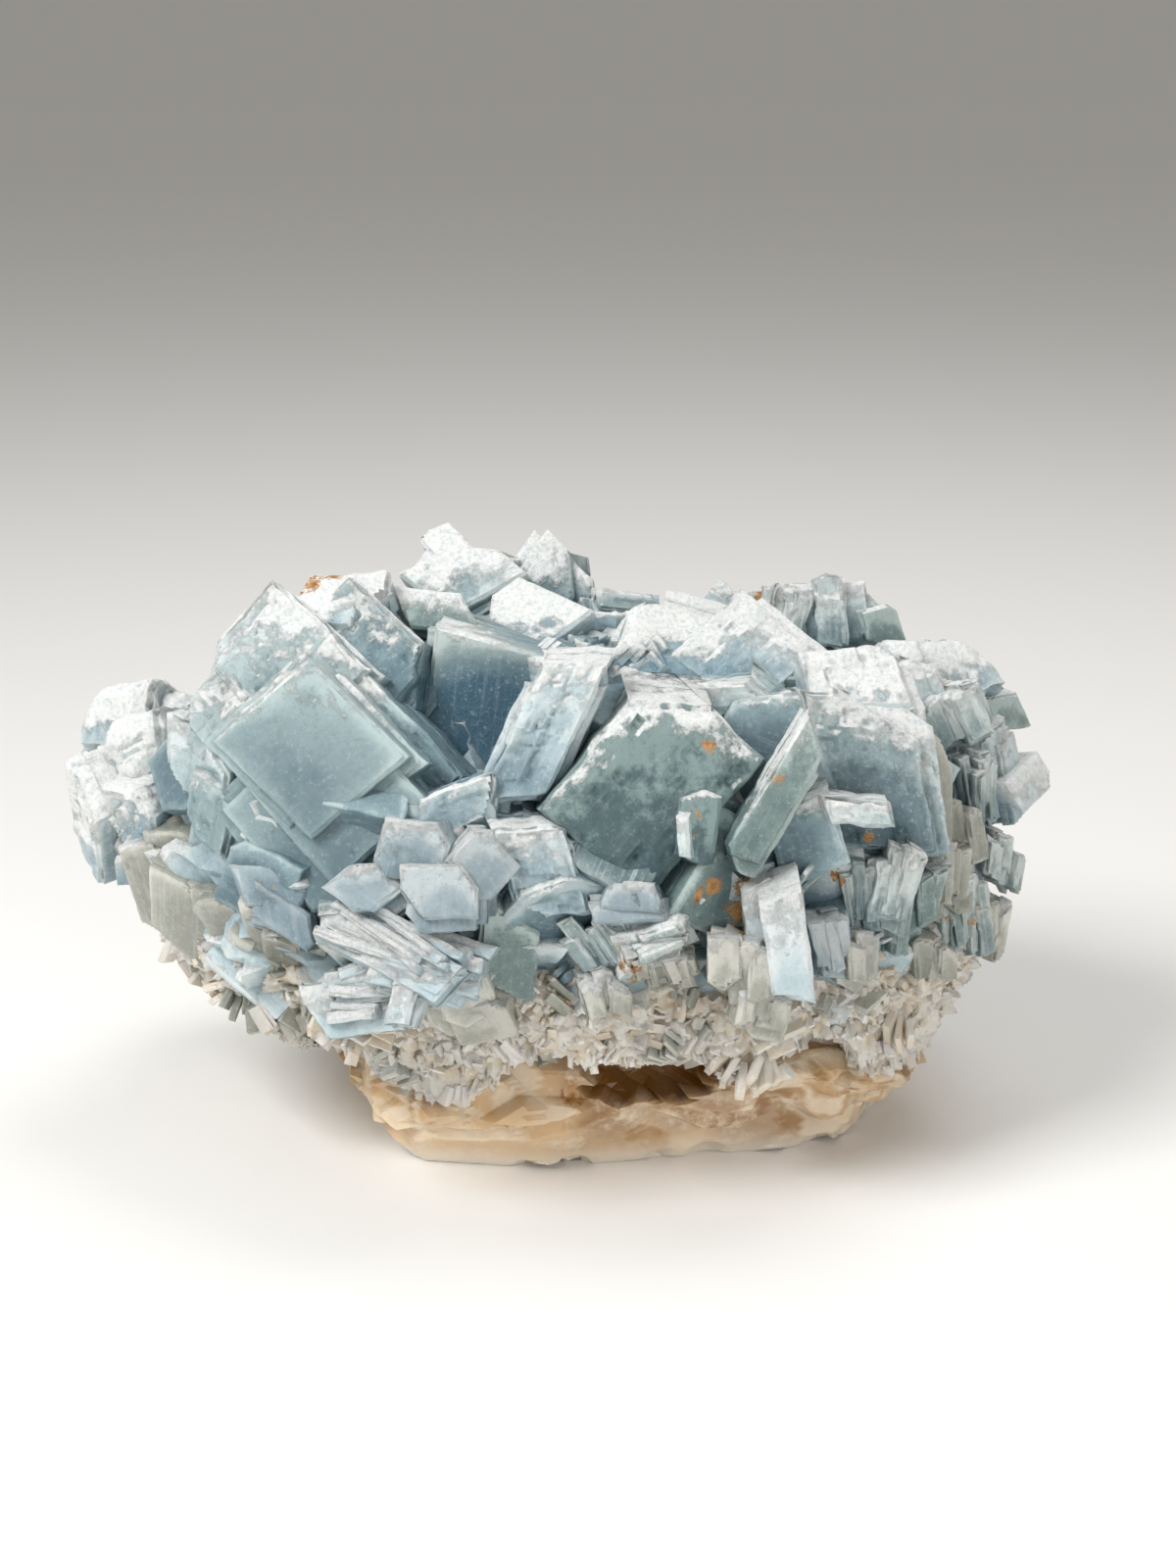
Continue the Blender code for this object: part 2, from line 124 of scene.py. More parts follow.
# A crystal is a rhombic plate. place is the middle of its outer face in mm. turned and raised say
# where that face looks: degrees to the right of -Y, and degrees above level. spin is the angle of its
# first edge above level, seen from outside, and corner is the angle from the first to the second edge.
# trims names the corners that are cut off: 0 is between the two edges, 1 to 3 go on round from it.
# split is how many blades side by side the crystal has grown as.
Crystal = namedtuple("Crystal", "name place turned raised spin edges corner thick trims form finish "
                     "split", defaults=((1, 3), "rhomb", "grey_blue", 1))

# How a crystal has grown, in mm: the spacing of its mesh, the waviness of its face, how ragged its
# layers' edges are, how thick its layers are, how many low steps and pits its face has and how high
# the steps are, how lumpy it is, how deep the grooves along it are, how round its face's edges are,
# and how far its outline strays from straight.
Form = namedtuple("Form", "pitch relief jag layer steps step pits lump groove round stray")
FORMS = {
    "rhomb": Form(0.7, 0.04, 0.14, (3.0, 6.0), 2, 0.12, 2, 0.0, 0.0, 0.4, 0.15),
    "dome": Form(0.7, 0.20, 0.10, (8.0, 12.0), 3, 0.30, 30, 0.4, 0.0, 4.5, 0.7),
    "etched": Form(0.7, 0.24, 0.40, (1.2, 3.5), 8, 0.60, 40, 0.3, 0.0, 0.8, 0.6),
    "lump": Form(0.8, 0.45, 0.70, (1.5, 4.0), 5, 0.60, 20, 1.5, 0.0, 3.2, 1.8),
    "blade": Form(0.7, 0.06, 0.22, (1.2, 2.6), 3, 0.30, 3, 0.1, 0.0, 0.3, 0.4),
    "sheaf": Form(0.7, 0.10, 0.45, (1.0, 2.4), 3, 0.40, 0, 0.0, 0.4, 0.4, 0.4),
    "hidden": Form(1.5, 0.12, 0.30, (1.5, 4.0), 3, 0.40, 6, 0.1, 0.0, 0.6, 0.4),
    "step": Form(1.2, 0.08, 0.30, (1.5, 3.5), 3, 0.30, 6, 0.1, 0.0, 0.4, 0.3),
    "chip": Form(9.0, 0.10, 0.35, (5.0, 9.0), 0, 0.0, 0, 0.0, 0.0, 0.1, 0.2),
}
# The chamfer of a face in mm, and the share of it that lower layers have.
CHAMFER = 0.35
LOWER_CHAMFER = 0.3
# How near a vertex on a side's line is to it, and how wide the bright rim of a face is, in mm.
ON_LINE = 0.02
RIM_WIDTH = 6.0
# How much of an edge's straying its corners have, and how much less deep than wide a rounding is.
CORNER_STRAY = 0.3
ROUND_SQUASH = 0.8
# How far a corner's cut leans outwards, and where it is as a share of the way to the corner.
TRIM_LEAN = (-0.1, 0.35)
TRIM_SHARE = (0.68, 0.86)
# Below this cross product of their normals two sides count as one.
NEARLY_PARALLEL = 0.15
# Uneven lines and faces: the spacing of the wide and the fine waves in mm, and the weight of the fine.
FACE_WAVES = (7, 2.1, 0.6)
STRAY_WAVES = (7.5, 3, 0.4)
JAG_WAVES = (3.1, 1.2, 0.5)
LUMP_SPACING = 9
# How closely the grooves of a face lie across it, and how slowly they change along it.
GROOVES_ACROSS = 0.9
GROOVES_ALONG = 0.03
SEED_RANGE = 90
# Low steps of a face, as shares of its edges: where they start and how far they reach.
STEP_START = (-0.7, 0.5)
STEP_REACH = (0.25, 1.1)
STEP_RISE = (0.3, 1.0)
STEP_RAGGED = 0.035
STEP_SPACING = 1.7
# Pits of a face: half their width and their depth in mm, and the area that a form's pits are for, mm2.
PIT_HALF = (0.5, 1.5)
PIT_DEPTH = (0.2, 0.6)
PIT_AREA = 600
# Chips out of a face's edge: their spacing in mm, their own noise, how rare they are, and their depth
# as a multiple of how ragged the form is.
CHIPS = ((2.2, 1, 0.1, 2), (5.5, 4, 0.15, 5))
# The highest that a face's edge may be, how far from the edge its straying fades, and how far from it
# the face has its full relief, in mm.
HIGHEST_EDGE = 0.2
STRAY_FADES = 3
LEVEL_MARGIN = 1.5
# The two edges of a layer on a crystal's side: how far down the layer, and how bright a rim it is.
LAYER_EDGES = ((0.0, 0.9), (1.0, 0.1))
LAYER_SHIFT = (-1.0, 0.6)
# How far the growth coordinates of one crystal are from those of the next, in metres for each seed.
GRAIN_SHIFT = 0.01
# How much painted shade deepens the colour of a crystal's foot, how late that sets in down the crystal,
# and the least height in mm that it takes.
FOOT_PAINTED_SHADE = 0.8
FOOT_BEND = 1.3
LEAST_FALL = 6.0
# A side of a face: a point on it, the way it looks, and how far it leans outwards from the face down.
Side = namedtuple("Side", "point normal lean")


def looking(turned, raised):
    """The direction a face looks, with its level and its upward direction in the face."""
    side, lift = math.radians(turned), math.radians(raised)
    out = Vector((math.sin(side) * math.cos(lift), -math.cos(side) * math.cos(lift), math.sin(lift)))
    level = Vector((0, 0, 1)).cross(out).normalized()
    return out, level, out.cross(level)


def in_face(level, rise, degrees):
    """The direction in a face at an angle above its level one."""
    angle = math.radians(degrees)
    return level * math.cos(angle) + rise * math.sin(angle)


def standing(crystal):
    """The matrix that turns a crystal's own directions into those of the specimen."""
    out, level, rise = looking(crystal.turned, crystal.raised)
    along = in_face(level, rise, crystal.spin)
    return Matrix((along, out.cross(along), out)).transposed()


def envelope(direction):
    """How far the rounded mass reaches from its middle in a direction."""
    drop = MASS_RISE if direction.z > 0 else MASS_DROP
    parts = ((direction.x, MASS_HALF_LENGTH), (direction.y, MASS_HALF_DEPTH), (direction.z, drop))
    total = sum(abs(part / half) ** MASS_SQUARENESS for part, half in parts)
    return total ** (-1 / MASS_SQUARENESS)


# The skin paints barite in deeper shade the further in it is rooted by this measure.
def rooted(point):
    """0 at the outside of the mass and 1 well inside it, where crystals are rooted."""
    ray = point - MASS_MIDDLE
    share = ray.length / envelope(ray.normalized())
    return min(max((OUTSIDE_SHARE - share) / ROOT_BAND, 0.0), 1.0)


def plate_sides(crystal, rng):
    """The straight sides of a crystal's face, its cut corners included."""
    length, width = crystal.edges
    bend = math.radians(crystal.corner)
    edge_a = Vector((length, 0, 0))
    edge_b = Vector((width * math.cos(bend), width * math.sin(bend), 0))
    across = Vector((0, 1, 0))
    along = Vector((math.sin(bend), -math.cos(bend), 0))
    sides = [Side(edge_b / 2, across, 0), Side(-edge_b / 2, -across, 0),
             Side(edge_a / 2, along, 0), Side(-edge_a / 2, -along, 0)]
    corners = [edge_a + edge_b, edge_b - edge_a, -edge_a - edge_b, edge_a - edge_b]
    for index in crystal.trims:
        lean = rng.uniform(*TRIM_LEAN)
        share = rng.uniform(*TRIM_SHARE)
        normal = corners[index].normalized()
        reach = corners[index].length / 2 * share - lean * crystal.thick / 2
        sides.append(Side(normal * reach, normal, lean))
    return edge_a, edge_b, sides


def slide_out(point, sides, offset, depth):
    """Moves a point of the outline outwards by offset, along the sides it lies on."""
    if len(sides) == 1:
        return point + sides[0].normal * (offset + sides[0].lean * depth)
    first, second = sides[0], sides[1]
    want_a, want_b = offset + first.lean * depth, offset + second.lean * depth
    spread = first.normal.x * second.normal.y - first.normal.y * second.normal.x
    if abs(spread) < NEARLY_PARALLEL:
        return point + first.normal * want_a
    return point + Vector(((want_a * second.normal.y - want_b * first.normal.y) / spread,
                           (want_b * first.normal.x - want_a * second.normal.x) / spread, 0))


def waves(point, kind, wide_seed, fine_seed):
    """Noise with wide and fine waves."""
    wide, fine, weight = kind
    return noise.noise(point / wide + wide_seed) + weight * noise.noise(point / fine + fine_seed)


def face_relief(crystal, form, rng, edge_a, edge_b):
    """A function that gives the height of a crystal's face in mm at a point of it."""
    steps = []
    for _ in range(form.steps):
        low = (rng.uniform(*STEP_START), rng.uniform(*STEP_START))
        steps.append((low, (low[0] + rng.uniform(*STEP_REACH), low[1] + rng.uniform(*STEP_REACH)),
                      rng.choice((-1, -1, 1)) * rng.uniform(*STEP_RISE) * form.step))
    area = crystal.edges[0] * crystal.edges[1]
    pits = [(rng.uniform(-0.5, 0.5), rng.uniform(-0.5, 0.5), rng.uniform(*PIT_HALF),
             rng.uniform(*PIT_DEPTH)) for _ in range(int(form.pits * area / PIT_AREA))]
    seed = Vector([rng.uniform(0, SEED_RANGE) for _ in range(3)])

    def height(point):
        y = point.y / edge_b.y
        x = (point.x - y * edge_b.x) / edge_a.x
        lift = form.relief * waves(point, FACE_WAVES, seed, seed)
        ragged = STEP_RAGGED * noise.noise(point / STEP_SPACING + 2 * seed)
        for low, high, rise in steps:
            if low[0] < x + ragged < high[0] and low[1] < y + ragged < high[1]:
                lift += rise
        for pit_x, pit_y, size, deep in pits:
            if abs(x - pit_x) * edge_a.x < size and abs(y - pit_y) * edge_b.y < size:
                lift -= deep
        if form.lump:
            lift += form.lump * noise.noise(point / LUMP_SPACING + 3 * seed)
        if form.groove:
            lengthwise = crystal.edges[0] > crystal.edges[1]
            across, along = (point.y, point.x) if lengthwise else (x * edge_a.x, y)
            groove = Vector((across * GROOVES_ACROSS, along * GROOVES_ALONG, 0))
            lift -= form.groove * abs(noise.noise(groove + seed)) * 2
        return lift
    return height, seed


def growth_layers(bm):
    """What the barite's surface reads of each vertex: its growth coordinates and its habit.

    The habit is how bright a rim it is on, how deep it is rooted or how low on its crystal it lies,
    which the skin paints as shade, its crystal's tone, and whether it is on a side wall.
    """
    return bm.verts.layers.float_vector.new("grain"), bm.verts.layers.float_color.new("habit")


def grow(target, crystal):
    """Grows one layered plate into the target mesh."""
    rng = random.Random(crystal.name)
    form = FORMS[crystal.form]
    frame_of = standing(crystal)
    edge_a, edge_b, sides = plate_sides(crystal, rng)
    height, seed = face_relief(crystal, form, rng, edge_a, edge_b)
    tone = rng.random()

    def stray(point):
        """How far the outline strays outwards at a point, from -1 to 1."""
        return waves(point, STRAY_WAVES, 5 * seed, 6 * seed)

    place = Vector(crystal.place) + CENTRING
    tips = [(frame_of @ (edge_a * x + edge_b * y)).z for x in (-0.5, 0.5) for y in (-0.5, 0.5)]
    top, fall = max(tips), max(max(tips) - min(tips), LEAST_FALL)

    bm = bmesh.new()
    grain, habit = growth_layers(bm)
    bmesh.ops.create_grid(bm, x_segments=max(1, round(crystal.edges[0] / form.pitch)),
                          y_segments=max(1, round(crystal.edges[1] / form.pitch)), size=0.5)
    for vert in bm.verts:
        vert.co = edge_a * vert.co.x + edge_b * vert.co.y
    for side in sides[4:]:
        geometry = bm.verts[:] + bm.edges[:] + bm.faces[:]
        bmesh.ops.bisect_plane(bm, geom=geometry, plane_co=side.point, plane_no=side.normal,
                               clear_outer=True)
    ring = [edge for edge in bm.edges if edge.is_boundary]
    base = {}
    for edge in ring:
        for vert in edge.verts:
            on = [side for side in sides if abs((vert.co - side.point).dot(side.normal)) < ON_LINE]
            base[vert] = (vert.co.copy(), on or sides[:1])

    for vert in bm.verts:
        point = vert.co.copy()
        inside, nearest = min(((side.point - point).dot(side.normal), side.normal) for side in sides)
        over = 1 - inside / form.round if inside < form.round else 0.0
        fall_off = form.round * ROUND_SQUASH * (1 - math.sqrt(1 - min(over, 1.0) ** 2))
        if vert in base:
            chip = sum(max(0.0, noise.noise(point / spacing + own * seed) - rare) * form.jag * deep
                       for spacing, own, rare, deep in CHIPS)
            spot, on = base[vert]
            drift = form.stray * stray(point) * (1 if len(on) == 1 else CORNER_STRAY)
            vert.co = slide_out(spot, on, drift - CHAMFER - chip, 0)
            vert.co.z = min(height(point), HIGHEST_EDGE) - chip - fall_off
        else:
            vert.co += nearest * form.stray * stray(point) * math.exp(-inside / STRAY_FADES)
            vert.co.z = height(point) * min(1, inside / LEVEL_MARGIN) - fall_off
        vert[grain] = vert.co
        vert[habit] = (math.exp(-inside / max(RIM_WIDTH, form.round)), 0, tone, 0)

    depth, offset, layer = form.round * ROUND_SQUASH, 0.0, 0
    while depth < crystal.thick:
        thin = rng.uniform(*form.layer)
        chamfer = CHAMFER * (1 if layer == 0 else LOWER_CHAMFER)
        for part, bright in LAYER_EDGES:
            here = min(depth + chamfer + part * thin, crystal.thick)
            made = bmesh.ops.extrude_edge_only(bm, edges=ring)["geom"]
            fresh = {item for item in made if isinstance(item, bmesh.types.BMVert)}
            ring = [item for item in made if isinstance(item, bmesh.types.BMEdge)
                    and item.verts[0] in fresh and item.verts[1] in fresh]
            below = {}
            for vert in fresh:
                old = next(link.other_vert(vert) for link in vert.link_edges
                           if link.other_vert(vert) in base)
                spot, on = below[vert] = base[old]
                ragged = waves(spot, JAG_WAVES, seed * (layer + 2), seed * (layer + 3))
                drift = form.stray * stray(spot) * (1 if len(on) == 1 else CORNER_STRAY)
                vert.co = slide_out(spot, on, offset + drift + form.jag * ragged, here)
                vert.co.z = -here
                vert[grain] = vert.co
                vert[habit] = (bright, 0, tone, 1)
            base = below
        depth += thin
        offset = rng.uniform(*LAYER_SHIFT) * form.jag
        layer += 1
    bmesh.ops.holes_fill(bm, edges=ring)

    for vert in bm.verts:
        vert[grain] = Vector(vert[grain]) * MM + seed * GRAIN_SHIFT
        point = place + frame_of @ vert.co
        bright, _, shade, wall = vert[habit]
        # Painted shade: the colour deepens towards the crystal's foot and further into the mass.
        lower = min(max((top + place.z - point.z) / fall, 0.0), 1.0)
        pale = (1 - rooted(point - CENTRING)) * (1 - FOOT_PAINTED_SHADE * lower ** FOOT_BEND)
        vert[habit] = (bright, 1 - pale, shade, wall)
        vert.co = point * MM
    bmesh.ops.recalc_face_normals(bm, faces=bm.faces)
    piece = bpy.data.meshes.new(crystal.name)
    bm.to_mesh(piece)
    bm.free()
    target.from_mesh(piece)
    bpy.data.meshes.remove(piece)


def add_node(tree, kind, inputs=None, **settings):
    """A shader node; inputs maps a socket to a plain value or to another node's output."""
    made = tree.nodes.new(kind)
    for name, value in settings.items():
        setattr(made, name, value)
    for socket, value in (inputs or {}).items():
        if isinstance(value, bpy.types.NodeSocket):
            tree.links.new(value, made.inputs[socket])
        else:
            made.inputs[socket].default_value = value
    return made


def calculate(tree, operation, *values):
    """The output of a math node."""
    return add_node(tree, "ShaderNodeMath", dict(enumerate(values)), operation=operation).outputs[0]


def add_up(tree, total, *shares):
    """A total, with each value times its weight added."""
    for value, weight in shares:
        total = calculate(tree, "MULTIPLY_ADD", value, weight, total)
    return total


def between(tree, value, low, high):
    """0 below low, 1 above high, and a smooth rise between them."""
    made = add_node(tree, "ShaderNodeMapRange", {"Value": value, "From Min": low, "From Max": high},
                    interpolation_type="SMOOTHSTEP")
    return made.outputs["Result"]


def layer_colour(tree, amount, under, over):
    """One colour laid over another by an amount from 0 to 1."""
    made = add_node(tree, "ShaderNodeMix", {0: amount, 6: under, 7: over}, data_type="RGBA")
    return made.outputs[2]


def cloud(tree, where, scale, detail, roughness):
    """A noise that fills space."""
    made = add_node(tree, "ShaderNodeTexNoise",
                    {"Vector": where, "Scale": scale, "Detail": detail, "Roughness": roughness})
    return made.outputs["Fac"]


def stretched(tree, where, scale):
    """Coordinates stretched by a different scale each way."""
    return add_node(tree, "ShaderNodeMapping", {"Vector": where, "Scale": scale}).outputs["Vector"]


def group_socket(group, name, kind, direction, value=None):
    """An input or output of a shader group."""
    made = group.interface.new_socket(name, in_out=direction, socket_type=kind)
    if value is not None:
        made.default_value = value


# Rust stains: where the iron-bearing water dripped, in mm, and how far each spot spreads.
STAINS = (((35, -48, 65), 3.4), ((34, -47, 60), 3.8), ((34, -49, 57), 2.8), ((29, -50, 66), 2.8),
          ((26, -51, 65), 2.2), ((38, -49, 66), 2.2), ((14, -55, 53), 3.2), ((15, -54, 49), 2.8),
          ((2, -49, 42), 2.4), ((-6, -37, 23), 1.8), ((3, -38, 19), 3.2), ((-9, -38, 12), 2.2),
          ((58, -40, 72), 1.8), ((48, -43, 64), 1.9), ((52, -43, 65), 2.2), ((81, -18, 47), 1.5),
          ((76, -20, 49), 1.5), ((-47, -11, 114), 4.2), ((-42, -9, 115), 3.4), ((28, -48, 92), 2.0),
          ((26, -50, 80), 2.0), ((25, -51, 76), 1.8), ((40, -50, 87), 2.2), ((41, 18, 103), 2.4))
RUST_PALE = (0.56, 0.31, 0.11, 1)
RUST_DARK = (0.26, 0.085, 0.016, 1)
RUST_RAGGED = -2.6
RUST_EDGE = (-0.85, -0.55)


def rust_group():
    """How much a point is stained with rust, ragged at the edge of each spot."""
    group = bpy.data.node_groups.new("rust_stain", "ShaderNodeTree")
    group_socket(group, "Amount", "NodeSocketFloat", "OUTPUT")
    group_socket(group, "Color", "NodeSocketColor", "OUTPUT")
    where = add_node(group, "ShaderNodeTexCoord").outputs["Object"]
    nearest = None
    for spot, spread_out in STAINS:
        away = add_node(group, "ShaderNodeVectorMath",
                        {0: where, 1: (Vector(spot) + CENTRING) * MM}, operation="DISTANCE")
        share = calculate(group, "DIVIDE", away.outputs["Value"], spread_out * MM)
        nearest = calculate(group, "MINIMUM", nearest, share) if nearest else share
    fleck = cloud(group, where, 700, 7, 0.75)
    edge = add_up(group, nearest, (fleck, RUST_RAGGED))
    amount = calculate(group, "SUBTRACT", 1.0, between(group, edge, *RUST_EDGE))
    colour = layer_colour(group, between(group, fleck, 0.45, 0.68), RUST_PALE, RUST_DARK)
    result = group.nodes.new("NodeGroupOutput").inputs
    group.links.new(amount, result["Amount"])
    group.links.new(colour, result["Color"])
    return group


rust_stain = rust_group()

# How much each thing deepens the colour of barite: cloudy patches, its crystal's tone and its rims.
PATCH_DEEPENS = 0.8
TONE_DEEPENS = 0.35
RIM_DEEPENS = -0.50
RIM_SHARPNESS = 3.5
# Where on that scale the pale colour turns into the body's, the deep one and the roots' painted blue
# shade.
BODY_ZONE = (-0.05, 0.30)
DEEP_ZONE = (0.28, 0.72)
ROOT_SHADE_ZONE = (0.75, 1.1)
# How much each thing adds to the frost: facing up, a painted highlight on faces turned to the left
# towards the window light, rims, patches, grain, and the painted shade of the roots.
PAINTED_HIGHLIGHT_LEFTWARDS = -0.45
UP_FROSTS = 0.34
RIM_FROSTS = 0.13
PATCH_FROSTS = 0.85
GRAIN_FROSTS = 1.25
ROOT_SHADE_FROSTS = -0.85
FROST_ZONE = (1.20, 1.38)
FROST_SHADE = (0.58, 0.66, 0.69, 1)
FROST_WHITE = (0.93, 0.93, 0.90, 1)
LINE_WHITE = (0.84, 0.88, 0.90, 1)
LIGHT_DUST = 0.45
DARK_DUST = 0.4


def barite_skin_group():
    """The surface that all barite shares: mottled colour, painted blue shade at the roots, stripes and
    white frosting.
    """
    group = bpy.data.node_groups.new("barite_skin", "ShaderNodeTree")
    for name in ("Body", "Deep", "Pale", "Root"):
        group_socket(group, name, "NodeSocketColor", "INPUT", (0.5, 0.6, 0.65, 1))
    for name in ("Mottle", "Frost", "Stripes"):
        group_socket(group, name, "NodeSocketFloat", "INPUT", 0.5)
    group_socket(group, "Color", "NodeSocketColor", "OUTPUT")
    group_socket(group, "Roughness", "NodeSocketFloat", "OUTPUT")
    group_socket(group, "Height", "NodeSocketFloat", "OUTPUT")
    given = group.nodes.new("NodeGroupInput").outputs
    where = add_node(group, "ShaderNodeTexCoord").outputs["Object"]
    grain = add_node(group, "ShaderNodeAttribute", attribute_name="grain").outputs["Vector"]
    habit = add_node(group, "ShaderNodeAttribute", attribute_name="habit")
    parts = add_node(group, "ShaderNodeSeparateColor", {"Color": habit.outputs["Color"]})
    rim, root, tone = parts.outputs[0], parts.outputs[1], parts.outputs[2]
    edge = calculate(group, "POWER", rim, RIM_SHARPNESS)
    wall = habit.outputs["Alpha"]
    normal = add_node(group, "ShaderNodeNewGeometry").outputs["Normal"]
    faces = add_node(group, "ShaderNodeSeparateXYZ", {"Vector": normal}).outputs
    # Painted highlight: faces turned to the left, towards the window light, count as more upward and
    # frost whiter.
    up_and_lit_left = add_up(group, faces["Z"], (faces["X"], PAINTED_HIGHLIGHT_LEFTWARDS))

    mottle = cloud(group, where, 210, 8, 0.74)
    patch = cloud(group, where, 55, 4, 0.55)
    speck = cloud(group, where, 1100, 5, 0.75)
    mottled, patched, toned = (calculate(group, "SUBTRACT", value, 0.5)
                               for value in (mottle, patch, tone))
    # The root value starts the zone: painted shade deep in the mass and at each crystal's foot.
    zone = add_up(group, root, (mottled, given["Mottle"]), (patched, PATCH_DEEPENS),
                  (toned, TONE_DEEPENS), (edge, RIM_DEEPENS))
    colour = layer_colour(group, between(group, zone, *BODY_ZONE), given["Pale"], given["Body"])
    colour = layer_colour(group, between(group, zone, *DEEP_ZONE), colour, given["Deep"])
    colour = layer_colour(group, between(group, zone, *ROOT_SHADE_ZONE), colour, given["Root"])
    dust = calculate(group, "MULTIPLY", between(group, speck, 0.54, 0.68), LIGHT_DUST)
    colour = layer_colour(group, dust, colour, given["Pale"])
    dark_dust = calculate(group, "SUBTRACT", 1.0, between(group, speck, 0.33, 0.45))
    dark_dust = calculate(group, "MULTIPLY", dark_dust, DARK_DUST)
    colour = layer_colour(group, dark_dust, colour, given["Deep"])

    stripe = cloud(group, stretched(group, grain, (60, 1100, 60)), 1.0, 3, 0.6)
    layers = cloud(group, stretched(group, grain, (60, 60, 1500)), 1.0, 2, 0.5)
    line = add_node(group, "ShaderNodeMix", {0: wall, 2: stripe, 3: layers},
                    data_type="FLOAT").outputs[0]
    white_line = calculate(group, "MULTIPLY", between(group, line, 0.52, 0.68), given["Stripes"])
    colour = layer_colour(group, white_line, colour, LINE_WHITE)

    frost_noise = cloud(group, where, 240, 9, 0.78)
    lift = add_up(group, given["Frost"], (up_and_lit_left, UP_FROSTS), (rim, RIM_FROSTS), (patch, PATCH_FROSTS),
                  (frost_noise, GRAIN_FROSTS), (root, ROOT_SHADE_FROSTS))
    frost = between(group, lift, *FROST_ZONE)
    white = layer_colour(group, between(group, speck, 0.30, 0.58), FROST_SHADE, FROST_WHITE)
    colour = layer_colour(group, frost, colour, white)
    rust = add_node(group, "ShaderNodeGroup", node_tree=rust_stain)
    colour = layer_colour(group, rust.outputs["Amount"], colour, rust.outputs["Color"])

    rough = add_up(group, 0.26, (frost, 0.40), (speck, 0.18))
    height = calculate(group, "MULTIPLY", line, given["Stripes"])
    height = add_up(group, height, (frost_noise, 1.1), (frost, 0.35))
    grit = calculate(group, "MULTIPLY", speck, add_up(group, 0.30, (frost, 0.9)))
    height = calculate(group, "ADD", height, grit)
    result = group.nodes.new("NodeGroupOutput").inputs
    group.links.new(colour, result["Color"])
    group.links.new(rough, result["Roughness"])
    group.links.new(height, result["Height"])
    return group


barite_skin = barite_skin_group()
# A finish of barite: the colour of its body, of its deeper and its paler parts and of the painted shade
# at its roots, how mottled it is, how much frost lies on it, how strong its fine lines are, and how
# clear it is.
Finish = namedtuple("Finish", "body deep pale root mottle frost stripes clear")
FINISHES = {
    "glassy": Finish((0.25, 0.35, 0.37), (0.12, 0.20, 0.23), (0.46, 0.57, 0.57), (0.05, 0.13, 0.18),
                     0.4, -0.04, 0.04, 0.0),
    "grey_blue": Finish((0.24, 0.35, 0.38), (0.11, 0.19, 0.23), (0.52, 0.63, 0.64), (0.045, 0.13, 0.18),
                        1.0, 0.14, 0.08, 0.0),
    "grey_green": Finish((0.19, 0.27, 0.26), (0.09, 0.155, 0.16), (0.46, 0.56, 0.54),
                         (0.04, 0.11, 0.14), 1.1, 0.10, 0.08, 0.0),
    "mottled": Finish((0.060, 0.115, 0.125), (0.028, 0.075, 0.095), (0.24, 0.34, 0.33),
                      (0.015, 0.065, 0.10), 1.6, 0.12, 0.04, 0.0),
    "deep_blue": Finish((0.36, 0.46, 0.46), (0.16, 0.26, 0.30), (0.62, 0.70, 0.68), (0.055, 0.15, 0.22),
                        0.7, 0.02, 0.10, 0.0),
    "pale_blue": Finish((0.42, 0.54, 0.58), (0.22, 0.32, 0.37), (0.68, 0.77, 0.78), (0.13, 0.22, 0.27),
                        1.3, 0.22, 0.10, 0.0),
    "silver": Finish((0.45, 0.55, 0.56), (0.27, 0.37, 0.39), (0.72, 0.79, 0.79), (0.19, 0.29, 0.32),
                     1.6, 0.20, 0.06, 0.0),
    "frosted": Finish((0.28, 0.37, 0.39), (0.12, 0.19, 0.22), (0.60, 0.68, 0.68), (0.06, 0.13, 0.165),
                      1.5, 0.24, 0.06, 0.0),
    "snow": Finish((0.62, 0.70, 0.71), (0.30, 0.42, 0.47), (0.88, 0.90, 0.87), (0.14, 0.26, 0.33),
                   1.1, 0.44, 0.08, 0.0),
    "lavender": Finish((0.40, 0.51, 0.56), (0.21, 0.32, 0.38), (0.72, 0.80, 0.82),
                       (0.09, 0.19, 0.26), 0.8, 0.12, 0.15, 0.25),
    "spray": Finish((0.60, 0.73, 0.77), (0.42, 0.55, 0.60), (0.84, 0.91, 0.92),
                    (0.38, 0.51, 0.56), 0.9, 0.30, 0.20, 0.1),
    "striped": Finish((0.28, 0.36, 0.36), (0.13, 0.20, 0.22), (0.60, 0.67, 0.65), (0.06, 0.13, 0.16),
                      1.0, 0.20, 0.40, 0.0),
    "crust": Finish((0.93, 0.83, 0.68), (0.88, 0.74, 0.55), (0.97, 0.92, 0.83), (0.80, 0.62, 0.41),
                    1.0, -0.30, 0.03, 0.2),
    "sugar": Finish((0.92, 0.88, 0.81), (0.84, 0.79, 0.70), (0.96, 0.94, 0.90), (0.76, 0.67, 0.55),
                    1.0, -0.10, 0.03, 0.2),
    "beige": Finish((0.46, 0.47, 0.40), (0.27, 0.28, 0.23), (0.74, 0.73, 0.65), (0.19, 0.20, 0.175),
                    1.0, 0.10, 0.15, 0.2),
}
BARITE_BUMP = {"Strength": 0.75, "Distance": 0.0009}
materials = {}


def stone_light(shader, ior, weight, radius, scale):
    """How a stone bends light, and how much of it glows through under its surface."""
    for socket, value in (("IOR", ior), ("Subsurface Weight", weight), ("Subsurface Radius", radius),
                          ("Subsurface Scale", scale)):
        shader.inputs[socket].default_value = value


